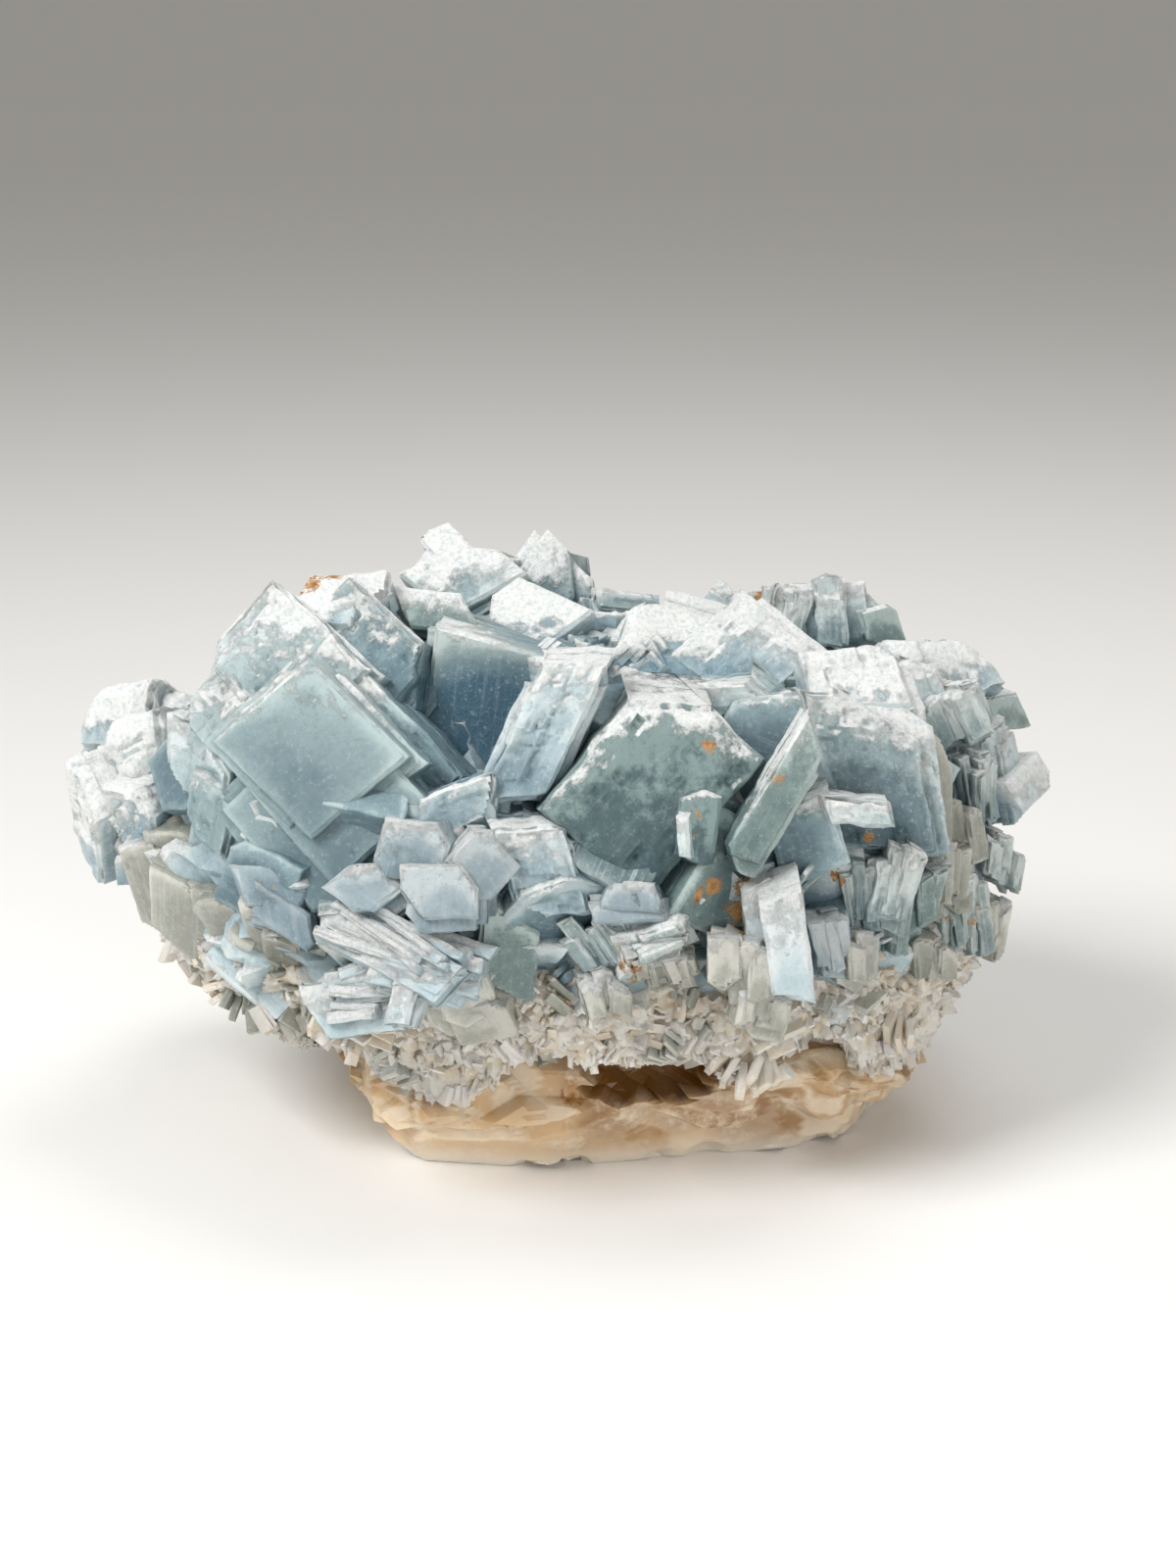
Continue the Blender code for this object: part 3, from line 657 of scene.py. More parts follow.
def barite(finish):
    """The material of one finish of barite, made the first time it is asked for."""
    if finish in materials:
        return materials[finish]
    look = FINISHES[finish]
    made, tree, shader = principled("barite_" + finish)
    skin = add_node(tree, "ShaderNodeGroup", node_tree=barite_skin)
    for name, colour in (("Body", look.body), ("Deep", look.deep), ("Pale", look.pale),
                         ("Root", look.root)):
        skin.inputs[name].default_value = (*colour, 1)
    for name, value in (("Mottle", look.mottle), ("Frost", look.frost), ("Stripes", look.stripes)):
        skin.inputs[name].default_value = value
    tree.links.new(skin.outputs["Color"], shader.inputs["Base Color"])
    tree.links.new(skin.outputs["Roughness"], shader.inputs["Roughness"])
    bump = add_node(tree, "ShaderNodeBump", {"Height": skin.outputs["Height"], **BARITE_BUMP})
    tree.links.new(bump.outputs["Normal"], shader.inputs["Normal"])
    shader.inputs["Transmission Weight"].default_value = look.clear
    stone_light(shader, 1.64, 0.35, (1.0, 1.0, 1.0), 0.0025)
    materials[finish] = made
    return made


def finish_piece(name, bm, skin, stands_for, sharp=32):
    """Turns a finished mesh into a piece that stands for a solid; edges over sharp degrees are hard."""
    mesh = bpy.data.meshes.new(name)
    bm.to_mesh(mesh)
    bm.free()
    mesh.shade_smooth()
    mesh.set_sharp_from_angle(angle=math.radians(sharp))
    mesh.materials.append(skin)
    piece = bpy.data.objects.new(name, mesh)
    bpy.context.scene.collection.objects.link(piece)
    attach(piece, "root")
    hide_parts(stands_for)


# Blades of a split crystal: how far they slip along it, their widths and lengths as shares of it, how
# deep in mm they may lie, and how far in degrees they may turn. They run along its first edge unless
# the second is clearly longer.
SPLIT_LENGTHWISE = 0.8
SPLIT_SLIP = 0.12
SPLIT_WIDTH = (1.3, 2.1)
SPLIT_LENGTH = (0.75, 1.02)
SPLIT_DEEPEST = 2.6
SPLIT_THINNEST = 3
SPLIT_SWING = 9
SHEAF_SWING = 14
SPLIT_LIFT = 7
SPLIT_SPIN = 5
SPLIT_FAN = 8
SPLIT_CORNER = 12


def split_blades(crystal):
    """The blades that a split crystal has grown as, side by side across its shorter way."""
    rng = random.Random(crystal.name + "_split")
    out, level, rise = looking(crystal.turned, crystal.raised)
    edge_a = in_face(level, rise, crystal.spin) * crystal.edges[0]
    edge_b = in_face(level, rise, crystal.spin + crystal.corner) * crystal.edges[1]
    lengthwise = crystal.edges[0] >= SPLIT_LENGTHWISE * crystal.edges[1]
    for number in range(crystal.split):
        share = (number + 0.5) / crystal.split - 0.5
        slip = rng.uniform(-SPLIT_SLIP, SPLIT_SLIP)
        narrow = rng.uniform(*SPLIT_WIDTH) / crystal.split
        if lengthwise:
            spot = edge_b * share + edge_a * slip
            edges = (crystal.edges[0] * rng.uniform(*SPLIT_LENGTH), crystal.edges[1] * narrow)
        else:
            spot = edge_a * share + edge_b * slip
            edges = (crystal.edges[0] * narrow, crystal.edges[1] * rng.uniform(*SPLIT_LENGTH))
        sunk = rng.uniform(0, min(SPLIT_DEEPEST, 0.3 * crystal.thick))
        swing = SHEAF_SWING if crystal.form == "sheaf" else SPLIT_SWING
        yield crystal._replace(
            name=f"{crystal.name}_{number}", place=tuple(Vector(crystal.place) + spot - out * sunk),
            turned=crystal.turned + rng.uniform(-swing, swing),
            raised=crystal.raised + rng.uniform(-SPLIT_LIFT, SPLIT_LIFT),
            spin=crystal.spin + rng.uniform(-SPLIT_SPIN, SPLIT_SPIN) + SPLIT_FAN * share, edges=edges,
            corner=crystal.corner + rng.uniform(-SPLIT_CORNER, SPLIT_CORNER),
            thick=max(crystal.thick - sunk, SPLIT_THINNEST), split=1,
            trims=(rng.choice((0, 1)), rng.choice((2, 3))))


# Lower plates beside a large crystal: how many, how far they are shifted as a share of its shorter
# edge, in which directions in its face in degrees, and how much deeper each lies than the last in mm.
# Lumps, domes and chips have none, nor have the specimen's ends and the crystals in its front gaps.
TERRACES = 3
TERRACE_SLIP = (0.15, 0.38)
TERRACE_REACH = 4.0
TERRACE_WAYS = (-190, 10)
TERRACE_SINK = (1.4, 2.6)
TERRACE_LAST_X = 84
TERRACE_BACK_Y = 15
# A split crystal's start this much deeper, and each has at least this thickness left, in mm.
TERRACE_UNDER_SPLIT = 1.6
TERRACE_LEFT = 2
TERRACE_TURN = 3
TERRACE_SIZE = (0.8, 1.04)


def terraces(crystal):
    """The lower plates that a crystal has grown with, parallel to it and shifted sideways."""
    rng = random.Random(crystal.name + "_terrace")
    out, level, rise = looking(crystal.turned, crystal.raised)
    if crystal.form in ("chip", "lump", "dome") or abs(crystal.place[0]) > TERRACE_LAST_X:
        return
    if crystal.form == "hidden" and crystal.place[1] < TERRACE_BACK_Y:
        return
    sunk = TERRACE_UNDER_SPLIT if crystal.split > 1 else 0.0
    for number in range(TERRACES):
        sunk += rng.uniform(*TERRACE_SINK)
        way = in_face(level, rise, rng.uniform(*TERRACE_WAYS))
        slip = min(min(crystal.edges) * rng.uniform(*TERRACE_SLIP), TERRACE_REACH)
        if sunk > crystal.thick - TERRACE_LEFT:
            return
        spot = way * slip - out * sunk
        yield crystal._replace(
            name=f"{crystal.name}_terrace_{number}", place=tuple(Vector(crystal.place) + spot),
            turned=crystal.turned + rng.uniform(-TERRACE_TURN, TERRACE_TURN),
            raised=crystal.raised + rng.uniform(-TERRACE_TURN, TERRACE_TURN),
            edges=tuple(edge * rng.uniform(*TERRACE_SIZE) for edge in crystal.edges),
            thick=crystal.thick - sunk, form="step", split=1)


def crystal_pieces(group_name, crystals):
    """One piece for each finish in a list of crystals."""
    for finish in sorted({crystal.finish for crystal in crystals}):
        bm = bmesh.new()
        for crystal in crystals:
            if crystal.finish == finish:
                for part in split_blades(crystal) if crystal.split > 1 else (crystal,):
                    grow(bm, part)
                for part in terraces(crystal):
                    grow(bm, part)
        finish_piece(f"{group_name}_{finish}", bm, barite(finish), "barite_crystals")


def pieces_by_side(group_name, crystals, borders):
    """The pieces of a list of crystals, apart for each stretch of X."""
    for side_name, first_x, last_x in borders:
        crystal_pieces(f"{group_name}_{side_name}",
                       [crystal for crystal in crystals if first_x <= crystal.place[0] < last_x])


LEFT_STACK = [
    Crystal("big_rhomb", (-43, -42, 85), -15, 15, 46, (24, 35), 91, 17, (1,), finish="glassy"),
    Crystal("big_rhomb_terrace", (-44.2, -43.0, 90), -15, 15, 43, (24, 26), 98, 8, (), finish="glassy"),
    Crystal("lower_rhomb", (-40.2, -43.2, 75), -15, 15, 46, (28, 34), 91, 14, (2,), finish="glassy"),
    Crystal("side_rhomb", (-38, -35, 87), -12, 15, 46, (25, 36), 91, 15, (1,), form="etched"),
    Crystal("upper_rhomb", (-50, -28, 102), -15, 30, 54, (20, 27), 90, 15, (1,), form="etched",
            finish="silver"),
    Crystal("rear_rhomb", (-36, -22, 103), -10, 30, 53, (17, 24), 88, 15, form="etched"),
    Crystal("stained_cap", (-42, -14, 111.6), -5, 60, 10, (20, 15), 80, 15, form="lump", finish="snow"),
    Crystal("etched_upper", (-63, -28, 93), -35, 20, 50, (14, 13), 100, 13, form="etched",
            finish="silver"),
    Crystal("etched_middle", (-67, -28, 83), -35, 10, 95, (14, 15), 80, 13, form="etched",
            finish="silver"),
    Crystal("etched_lower", (-65, -32, 74), -35, 5, 80, (13, 11), 80, 12, form="etched",
            finish="silver"),
    Crystal("pale_blade", (-64, -30, 65), -30, 20, 85, (10, 19), 62, 9, form="blade",
            finish="pale_blue"),
    Crystal("slate_blade", (-51, -46, 62), -10, 25, 109, (9, 21), 58, 10, form="blade",
            finish="lavender", split=2),
    Crystal("beige_plate", (-51, -42, 50), -20, -40, 73, (18, 16), 70, 9, form="blade",
            finish="beige", split=3),
    Crystal("beige_plate_low", (-58, -35, 44), -25, -35, 60, (17, 9), 80, 8, form="blade",
            finish="beige", split=3),
]
crystal_pieces("left_stack", LEFT_STACK)

# The far left end.
# White rounded knobs and frosted blades that turn away to the left, over a wall of beige plates.
FAR_LEFT = [
    Crystal("white_knob_outer", (-88, 3, 84), -30, 40, 20, (15, 13), 80, 16, form="lump",
            finish="snow"),
    Crystal("white_knob_inner", (-79, 5, 83), -10, 45, 60, (13, 13), 85, 15, form="lump",
            finish="snow"),
    Crystal("white_shoulder", (-86, -7, 76), -35, 25, 28, (20, 19), 85, 19, form="lump",
            finish="snow"),
    Crystal("white_bridge", (-74, -7, 78), -15, 50, 75, (16, 14), 82, 15, form="lump", finish="snow"),
    Crystal("blue_shoulder", (-83, -16, 67), -40, -10, 83, (14, 15), 100, 15, form="etched",
            finish="snow"),
    Crystal("edge_blade", (-94, -6, 63), -60, -10, 70, (22, 13), 80, 13, form="etched", finish="snow"),
    Crystal("grey_blade", (-75, -20, 52), -30, -20, 91, (24, 17), 104, 10, form="blade",
            finish="beige", split=2),
    Crystal("frosted_strip", (-69, -24, 58), -15, 15, 112, (23, 6), 85, 13, form="blade",
            finish="snow"),
    Crystal("edge_blade_low", (-85, -8, 50), -55, -25, 108, (20, 8), 85, 10, form="blade",
            finish="beige", split=2),
    Crystal("beige_wall", (-69, -29, 49), -30, -25, 70, (22, 17), 85, 9, form="blade",
            finish="beige", split=2),
    Crystal("beige_shelf", (-60, -37, 52), -20, -15, 115, (15, 12), 80, 8, form="blade", finish="beige",
            split=2),
]
crystal_pieces("far_left", FAR_LEFT)

# The fan low on the front.
# Lavender blue blades and sprays that spread from the hollow between the two large rhombs.
LOW_FAN = [
    Crystal("toothed_blade", (-17, -50, 81), 0, 15, 20, (16, 8), 92, 12, form="etched",
            finish="pale_blue"),
    Crystal("round_blade", (-25, -56, 75), -10, 15, 77, (11, 13), 100, 13, form="blade",
            finish="lavender"),
    Crystal("front_plate", (-20, -61, 69), 0, 15, 89, (10, 14), 93, 11, form="blade",
            finish="lavender"),
    Crystal("left_tip", (-34, -55, 68), -15, 30, 149, (10, 10), 75, 10, form="blade",
            finish="lavender"),
    Crystal("rear_tip", (-12, -57, 73), 20, 15, 125, (11, 10), 95, 11, form="blade",
            finish="lavender"),
    Crystal("etched_block", (-2, -54, 70), 10, 0, 105, (18, 13), 76, 15, form="etched",
            finish="pale_blue"),
    Crystal("long_spray", (-29, -60, 60), -10, 40, 155, (31, 9), 75, 8, form="blade",
            finish="spray", split=9),
    Crystal("short_spray", (-20, -60, 56), 5, 30, 165, (19, 10), 80, 8, form="blade",
            finish="spray", split=6),
    Crystal("small_prism", (-27, -62, 49), -15, 10, 6, (5, 15), 70, 7, form="blade", finish="spray"),
    Crystal("teal_plate", (-8, -52, 54), 15, -10, 88, (20, 12), 74, 12, form="blade",
            finish="grey_green"),
    Crystal("rounded_plate", (-15, -54, 42), 0, -15, 103, (10, 14), 94, 10, form="blade",
            finish="beige", split=2),
    Crystal("level_blade", (-36, -56, 48), -10, 20, 102, (10, 19), 88, 10, form="blade",
            finish="spray", split=7),
]
crystal_pieces("low_fan", LOW_FAN)

# The top row behind.
# Plates and blocks along the crest, whose upper sides are frosted white.
TOP_ROW = [
    Crystal("tall_plate", (-14, -22, 89), -5, 5, 84, (31, 21), 81, 20, (), finish="deep_blue"),
    Crystal("white_table", (-5, 0, 105), -10, 60, 152, (19, 14), 80, 13, (0,), finish="snow"),
    Crystal("level_strip", (-23, -8, 107), -5, 30, 111, (9, 15), 64, 13, finish="grey_green"),
    Crystal("back_plate", (-19, 15, 109), -20, 40, 148, (16, 18), 70, 10, finish="frosted"),
    Crystal("thin_sheet", (-22, 19, 110), -25, 35, 150, (18, 11), 75, 4, form="blade",
            finish="snow", split=2),
    Crystal("blue_peak", (-2, 20, 106), -5, 20, 55, (15, 13), 80, 13, finish="frosted"),
    Crystal("frosted_block", (15, 8, 101), 5, 15, 96, (10, 16), 75, 15, form="sheaf",
            finish="frosted", split=4),
    Crystal("small_plate", (18, -12, 97), 0, 20, 97, (10, 13), 84, 13, finish="grey_green"),
    Crystal("dark_corner", (24, 6, 96), 40, 15, 55, (9, 10), 100, 9, finish="grey_green"),
]
crystal_pieces("top_row", TOP_ROW)

# The middle of the front.
# The large domed rhomb, mottled grey-green, with a rugged blade against its left side.
CENTRE = [
    Crystal("rugged_blade", (-1, -46, 96), -5, 10, 66, (31, 13), 122, 9, (0,), form="etched",
            finish="pale_blue"),
    Crystal("domed_rhomb", (18, -50, 85), 5, 10, 49, (35, 26), 86, 22, (0,), form="dome",
            finish="mottled"),
    Crystal("cross_bar", (14, -57, 65), 0, 10, 92, (6, 17), 91, 8, form="blade",
            finish="lavender", split=2),
    Crystal("loose_shard", (23, -60.5, 79), -10, 10, 97, (10, 2.4), 65, 4, form="blade",
            finish="silver"),
    Crystal("dark_plate", (28, -52, 77), 10, 5, 84, (14, 9), 75, 8, form="blade",
            finish="mottled", split=2),
    Crystal("under_plate", (8, -55, 56), -10, 0, 127, (11, 11), 80, 8, form="sheaf",
            finish="striped", split=6),
    Crystal("pale_scale", (10, -57, 47), 10, 0, 99, (9, 7), 82, 7, form="blade", finish="beige",
            split=3),
    Crystal("brown_plate", (21, -55, 51), 20, -20, 113, (10, 12), 60, 7, form="sheaf",
            finish="beige", split=6),
    Crystal("under_scale", (20, -57, 56), 10, -10, 118, (7, 11), 80, 7, form="sheaf",
            finish="striped", split=5),
]
crystal_pieces("centre", CENTRE)

# The blocks on the right of the front.
# A roof of white plates over pitted blocks, with a knife-shaped blade, striated plates and thin
# beige petals below.
RIGHT_BLOCKS = [
    Crystal("white_roof", (36, -14, 100), 0, 40, 46, (20, 20), 90, 12, (), form="etched",
            finish="snow"),
    Crystal("pale_front", (37, -32, 92), 5, 10, 104, (15, 17), 78, 17, form="sheaf", finish="silver"),
    Crystal("pitted_block", (58, -38, 84), 5, 15, 98, (29, 21), 76, 21, (3,), form="etched",
            finish="frosted"),
    Crystal("block_top", (56, -26.5, 99), 5, 55, 96, (15, 18), 87, 14, form="etched", finish="snow"),
    Crystal("honey_side", (71, -30, 79), 55, 10, 76, (20, 17), 70, 12, finish="beige"),
    Crystal("striped_back", (53, 10, 101), 5, 15, 97, (15, 17), 81, 16, form="sheaf",
            finish="frosted", split=4),
    Crystal("striped_back_left", (45, 9, 102), -10, 20, 85, (12, 9), 80, 12, form="sheaf",
            finish="striped", split=4),
    Crystal("dark_back", (66, 14, 98), 30, 10, 106, (9, 9), 80, 10, finish="grey_green"),
    Crystal("knife_blade", (40, -52, 83), 10, 10, 57, (28, 9), 50, 7, (2,), form="blade",
            finish="grey_green"),
    Crystal("frosted_bar", (55, -50, 80), 5, 10, 97, (5, 14), 78, 10, form="etched", finish="silver"),
    Crystal("kite_plate", (46, -47, 74), 0, 5, 107, (15, 13), 99, 12, (), form="blade",
            finish="grey_blue"),
    Crystal("striated_plate", (58, -44, 62), 0, 5, 93, (18, 8), 85, 12, form="sheaf",
            finish="striped", split=5),
    Crystal("striated_ridge", (63, -46, 64), 10, 5, 80, (19, 6), 96, 7, form="sheaf",
            finish="striped", split=3),
    Crystal("slate_plate", (69, -38, 57), 20, -5, 92, (16, 10), 105, 10, form="sheaf",
            finish="grey_green", split=4),
    Crystal("upright_prism", (42, -59, 57), 0, 5, 98, (25, 8), 78, 10, (0, 1), form="blade",
            finish="spray"),
    Crystal("pale_flake", (34, -59, 53), -10, 10, 93, (12, 10), 75, 8, form="blade",
            finish="beige", split=3),
    Crystal("pale_flake_low", (38, -60, 46), 5, 5, 80, (10, 8), 85, 8, form="blade",
            finish="beige", split=3),
    Crystal("petal_left", (52, -52, 54), 20, 0, 103, (14, 7), 84, 8, form="blade",
            finish="lavender", split=3),
    Crystal("petal_right", (58, -48, 50), 30, 0, 92, (11, 7), 66, 7, form="blade",
            finish="beige", split=3),
]
crystal_pieces("right_blocks", RIGHT_BLOCKS)

# The far right end.
# Pale crested columns that stand side by side, with a small white prism at the very end.
FAR_RIGHT = [
    Crystal("white_crest", (81, 5, 93), 30, 35, 107, (13, 16), 75, 14, form="lump", finish="snow"),
    Crystal("white_crest_left", (72, 3, 94), 15, 35, 100, (11, 11), 80, 12, form="lump",
            finish="snow"),
    Crystal("pale_step", (71, -8, 92), 25, 20, 110, (11, 10), 80, 12, form="etched", finish="snow"),
    Crystal("pale_column_top", (80, -10, 86), 30, 10, 113, (13, 13), 75, 14, form="sheaf",
            finish="striped", split=4),
    Crystal("grey_corner", (92, 14, 80), 45, 0, 126, (14, 10), 65, 12, finish="grey_green"),
    Crystal("end_prism", (95, -1, 70), 50, 15, 13, (14, 9), 110, 12, (3,), finish="snow"),
    Crystal("cream_column", (80, -20, 67), 35, 5, 97, (12, 8), 75, 10, form="sheaf",
            finish="beige", split=3),
    Crystal("grey_column", (85, -12, 71), 40, 0, 96, (23, 8), 75, 10, form="sheaf",
            finish="striped", split=5),
    Crystal("end_plate", (90, -11, 56), 45, -5, 86, (11, 12), 70, 10, form="sheaf",
            finish="striped", split=4),
    Crystal("low_column", (82, -20, 49), 40, 0, 98, (19, 9), 70, 10, form="sheaf",
            finish="striped", split=5),
    Crystal("low_corner", (87, -14, 44), 50, -5, 97, (15, 11), 62, 10, form="sheaf",
            finish="beige", split=4),
    Crystal("beige_petal", (77, -25, 58), 30, 5, 86, (15, 8), 93, 9, form="sheaf",
            finish="beige", split=4),
    Crystal("pale_petal", (74, -31, 44), 35, 0, 93, (10, 8), 75, 8, form="blade", finish="beige",
            split=3),
    Crystal("inner_column", (88, -4, 75), 40, 10, 95, (25, 12), 80, 14, form="sheaf",
            finish="pale_blue", split=3),
]
crystal_pieces("far_right", FAR_RIGHT)

# The crystals of the back, and those in the gaps of the front.
# They are the same plates, in no order, set a little deeper than the large ones of the front.
FILLER_COUNT = 70
FILLER_EDGE = (15, 24)
FILLER_SHARE = 0.84
FILLER_THICK = 14
FILLER_FOOT = -0.55
# Places where a large crystal of the front stands free instead.
FILLER_LEFT_OUT = (0, 7, 15)
BACK_COUNT = 64
BACK_EDGE = (20, 32)
BACK_SHARE = 0.96
BACK_SINK = 0.25
BACK_THICK = 16
BACK_START = 0.30
BACK_FOOT = -0.45
GROWN_CORNER = 80
GROWN_WOBBLE = 24
# Their finishes: between which heights and left of which x in mm each choice holds; the first that
# fits is taken. They are white on top, grey and blue at the sides and beige near the foot.
ANYWHERE = 999
GROWN_ZONES = (((98, ANYWHERE), ANYWHERE, ("snow", "snow", "grey_blue")),
               ((-ANYWHERE, 60), -40, ("beige", "spray")),
               ((-ANYWHERE, 42), ANYWHERE, ("beige", "beige", "striped")),
               ((-ANYWHERE, ANYWHERE), ANYWHERE,
                ("grey_blue", "grey_blue", "grey_green", "striped", "lavender")))


def grown_on_dome(name, direction, share, edge_range, thick, rng):
    """A crystal that stands on the rounded mass, facing roughly outwards."""
    place = MASS_MIDDLE + direction * envelope(direction) * share
    half = Vector((MASS_HALF_LENGTH ** -2, MASS_HALF_DEPTH ** -2, MASS_RISE ** -2))
    out = Vector(part * weight for part, weight in zip(place - MASS_MIDDLE, half)).normalized()
    turned, raised = math.degrees(math.atan2(out.x, -out.y)), math.degrees(math.asin(out.z))
    return Crystal(name, tuple(place), turned + rng.uniform(-GROWN_WOBBLE, GROWN_WOBBLE),
                   raised + rng.uniform(-GROWN_WOBBLE, GROWN_WOBBLE), rng.uniform(0, 180),
                   (rng.uniform(*edge_range), rng.uniform(*edge_range)), GROWN_CORNER, thick,
                   (rng.randrange(4),), "hidden")


def spread(count):
    """Directions spread evenly over a sphere."""
    golden = math.pi * (3 - math.sqrt(5))
    for index in range(count):
        height = 1 - 2 * (index + 0.5) / count
        ring = math.sqrt(1 - height * height)
        yield Vector((ring * math.cos(golden * index), ring * math.sin(golden * index), height))


grown_crystals = []
filler_rng = random.Random(3)
for index, direction in enumerate(spread(FILLER_COUNT)):
    if direction.z > FILLER_FOOT and index not in FILLER_LEFT_OUT:
        grown_crystals.append(grown_on_dome(f"filler_{index}", direction, FILLER_SHARE, FILLER_EDGE,
                                            FILLER_THICK, filler_rng))
back_rng = random.Random(11)
for index, direction in enumerate(spread(BACK_COUNT)):
    if direction.y > BACK_START and direction.z > BACK_FOOT:
        share = BACK_SHARE - BACK_SINK * max(direction.z, 0)
        grown_crystals.append(grown_on_dome(f"back_{index}", direction, share, BACK_EDGE, BACK_THICK,
                                            back_rng))


def finish_at(place, zones, rng):
    """A finish out of those that the first zone round a place offers."""
    for (lowest, highest), last_x, finishes in zones:
        if lowest < place[2] < highest and place[0] < last_x:
            return rng.choice(finishes)


finish_rng = random.Random(5)
for side_name, first_x, last_x in (("left", -200, -25), ("middle", -25, 25), ("right", 25, 200)):
    near = [crystal._replace(finish=finish_at(crystal.place, GROWN_ZONES, finish_rng))
            for crystal in grown_crystals if first_x <= crystal.place[0] < last_x]
    crystal_pieces(f"grown_{side_name}", near)

# The inner mass.
# What the crystals are rooted in: a druse of small barite crystals grown into each other, seen only
# in the deepest gaps.
CORE_SHARE = 0.80
CORE_SINK = 0.08
CORE_SKEW = 0.16
DENT_MIDDLE = Vector((-13.0, -36.0, 92.0))
DENT_REACH = 26.0
DENT_DEPTH = 20.0
# The druse's crystals, large and small: their size in mm, how steep they are and how they differ.
CORE_FACETS = ((9.0, 0.7, 1.6), (3.5, 0.4, 0.4))
CORE_LIFT = 1.0
CORE_RIM = 0.4
CORE_TONE = 0.5


def core_point(direction):
    """A point of the inner mass's surface, which is dented in front of the tall plate."""
    share = CORE_SHARE - CORE_SINK * max(direction.z, 0)
    point = MASS_MIDDLE + direction * envelope(direction) * share
    if direction.z < 0:
        point.z -= CORE_SKEW * point.x * -direction.z
    near = 1 - (point - DENT_MIDDLE).length / DENT_REACH
    if near > 0:
        point += (MASS_MIDDLE - point).normalized() * DENT_DEPTH * near
    return point


def facets(point, size, tilt, rise):
    """The relief of many small crystals grown together: each has its own slope and its own height."""
    middle = noise.voronoi(point / size)[1][0]
    slope = noise.cell_vector(middle * 41) * 2 - Vector((1, 1, 1))
    return rise * slope.x + tilt * slope.dot(point - middle * size)


core_bm = bmesh.new()
bmesh.ops.create_icosphere(core_bm, subdivisions=6, radius=1)
core_grain, core_habit = growth_layers(core_bm)
for vert in core_bm.verts:
    direction = vert.co.normalized()
    point = core_point(direction)
    lift = sum(facets(point, *kind) for kind in CORE_FACETS)
    point += direction * (lift + CORE_LIFT)
    vert.co = (point + CENTRING) * MM
    vert[core_grain] = vert.co
    # Painted shade: deeper colour further into the mass and in the hollows between the druse's crystals.
    vert[core_habit] = (CORE_RIM, 0.35 + 0.2 * rooted(point) - 0.10 * lift, CORE_TONE, 0)
finish_piece("druse_core", core_bm, barite("pale_blue"), "barite_crystals")

# The small blades in the gaps.
# Wherever the inner mass would show between the large crystals, thin blades stand on it in tufts,
# side by side or spread like a fan. Many ways out of the mass are tried, each at these levels of it
# from the outside in, for the first crystal they meet.
GAP_TRIES = 2600
GAP_LOWEST = -0.6
GAP_LEVELS = [1.04 - 0.012 * step for step in range(26)]
# How far out blades may reach as a share of the mass, the least space they need in mm, which share of
# the gaps over a grown crystal have a tuft, how near in mm counts as inside a crystal, and how deep in
# mm a tuft is rooted.
GAP_REACH = 0.91
GAP_LEAST = 2
GAP_BESIDE_FILLER = 0.15
GAP_MARGIN = 0.5
GAP_SUNK = 1.5
# A tuft: how many blades it has, their length, width and thickness in mm, and how far it fans out in
# degrees. Near the top, blades are no longer than a share of what is left below this height.
GAP_BLADES = (2, 6)
GAP_LENGTH = (5, 12)
GAP_WIDTH = (3.0, 6.5)
GAP_THICK = (0.9, 2.0)
GAP_FANS = (10, 20, 60)
GAP_TOP = 100
GAP_TOP_SHARE = 0.45
GAP_SHORTEST = 3.0
# White on top, lavender and blue at the front, beige near the foot.
GAP_ZONES = (((96, ANYWHERE), ANYWHERE, ("snow", "snow", "grey_blue")),
             ((-ANYWHERE, 46), ANYWHERE, ("beige", "crust", "sugar")),
             ((-ANYWHERE, 62), -40, ("beige", "spray", "beige", "snow")),
             ((-ANYWHERE, ANYWHERE), ANYWHERE,
              ("grey_blue", "lavender", "spray", "striped", "grey_green")))
# Places where large crystals are seen whole: a point, and how far round it no tuft is rooted.
GAP_FREE = ((DENT_MIDDLE, DENT_REACH), (Vector((-66, -28, 58)), 15), (Vector((-50, -44, 64)), 9))
chosen = LEFT_STACK + FAR_LEFT + LOW_FAN + TOP_ROW + CENTRE + RIGHT_BLOCKS + FAR_RIGHT
gap_rng = random.Random(17)


def random_way(rng):
    """A direction, evenly spread."""
    return Vector((rng.gauss(0, 1), rng.gauss(0, 1), rng.gauss(0, 1))).normalized()


def blade(name, root, along, facing, size, finish, corner=82, form="chip"):
    """A thin crystal that stands on a point, its long way along one direction."""
    facing = (facing - along * facing.dot(along)).normalized()
    turned = math.degrees(math.atan2(facing.x, -facing.y))
    raised = math.degrees(math.asin(min(max(facing.z, -1), 1)))
    _, level, rise = looking(turned, raised)
    length, width, thick = size
    middle = root + along * length * 0.5 + facing * thick * 0.5
    spin = math.degrees(math.atan2(along.dot(rise), along.dot(level)))
    return Crystal(name, tuple(middle), turned, raised, spin, (length, width), corner, thick, (), form,
                   finish)


# How much the blades of a tuft differ: the angles in degrees that each leans and twists beyond its
# place in the fan, the shares of the tuft's length, width and thickness, and the corners in degrees.
TUFT_LEAN = 5
TUFT_TWIST = 12
TUFT_LENGTH = (0.65, 1.15)
TUFT_SHORTER_ASIDE = 0.5
TUFT_SPACING = 0.9
TUFT_SHIFT = 0.3
TUFT_WIDTH = (0.6, 1.2)
TUFT_THICK = (0.7, 1.3)
TUFT_CORNER = (68, 100)


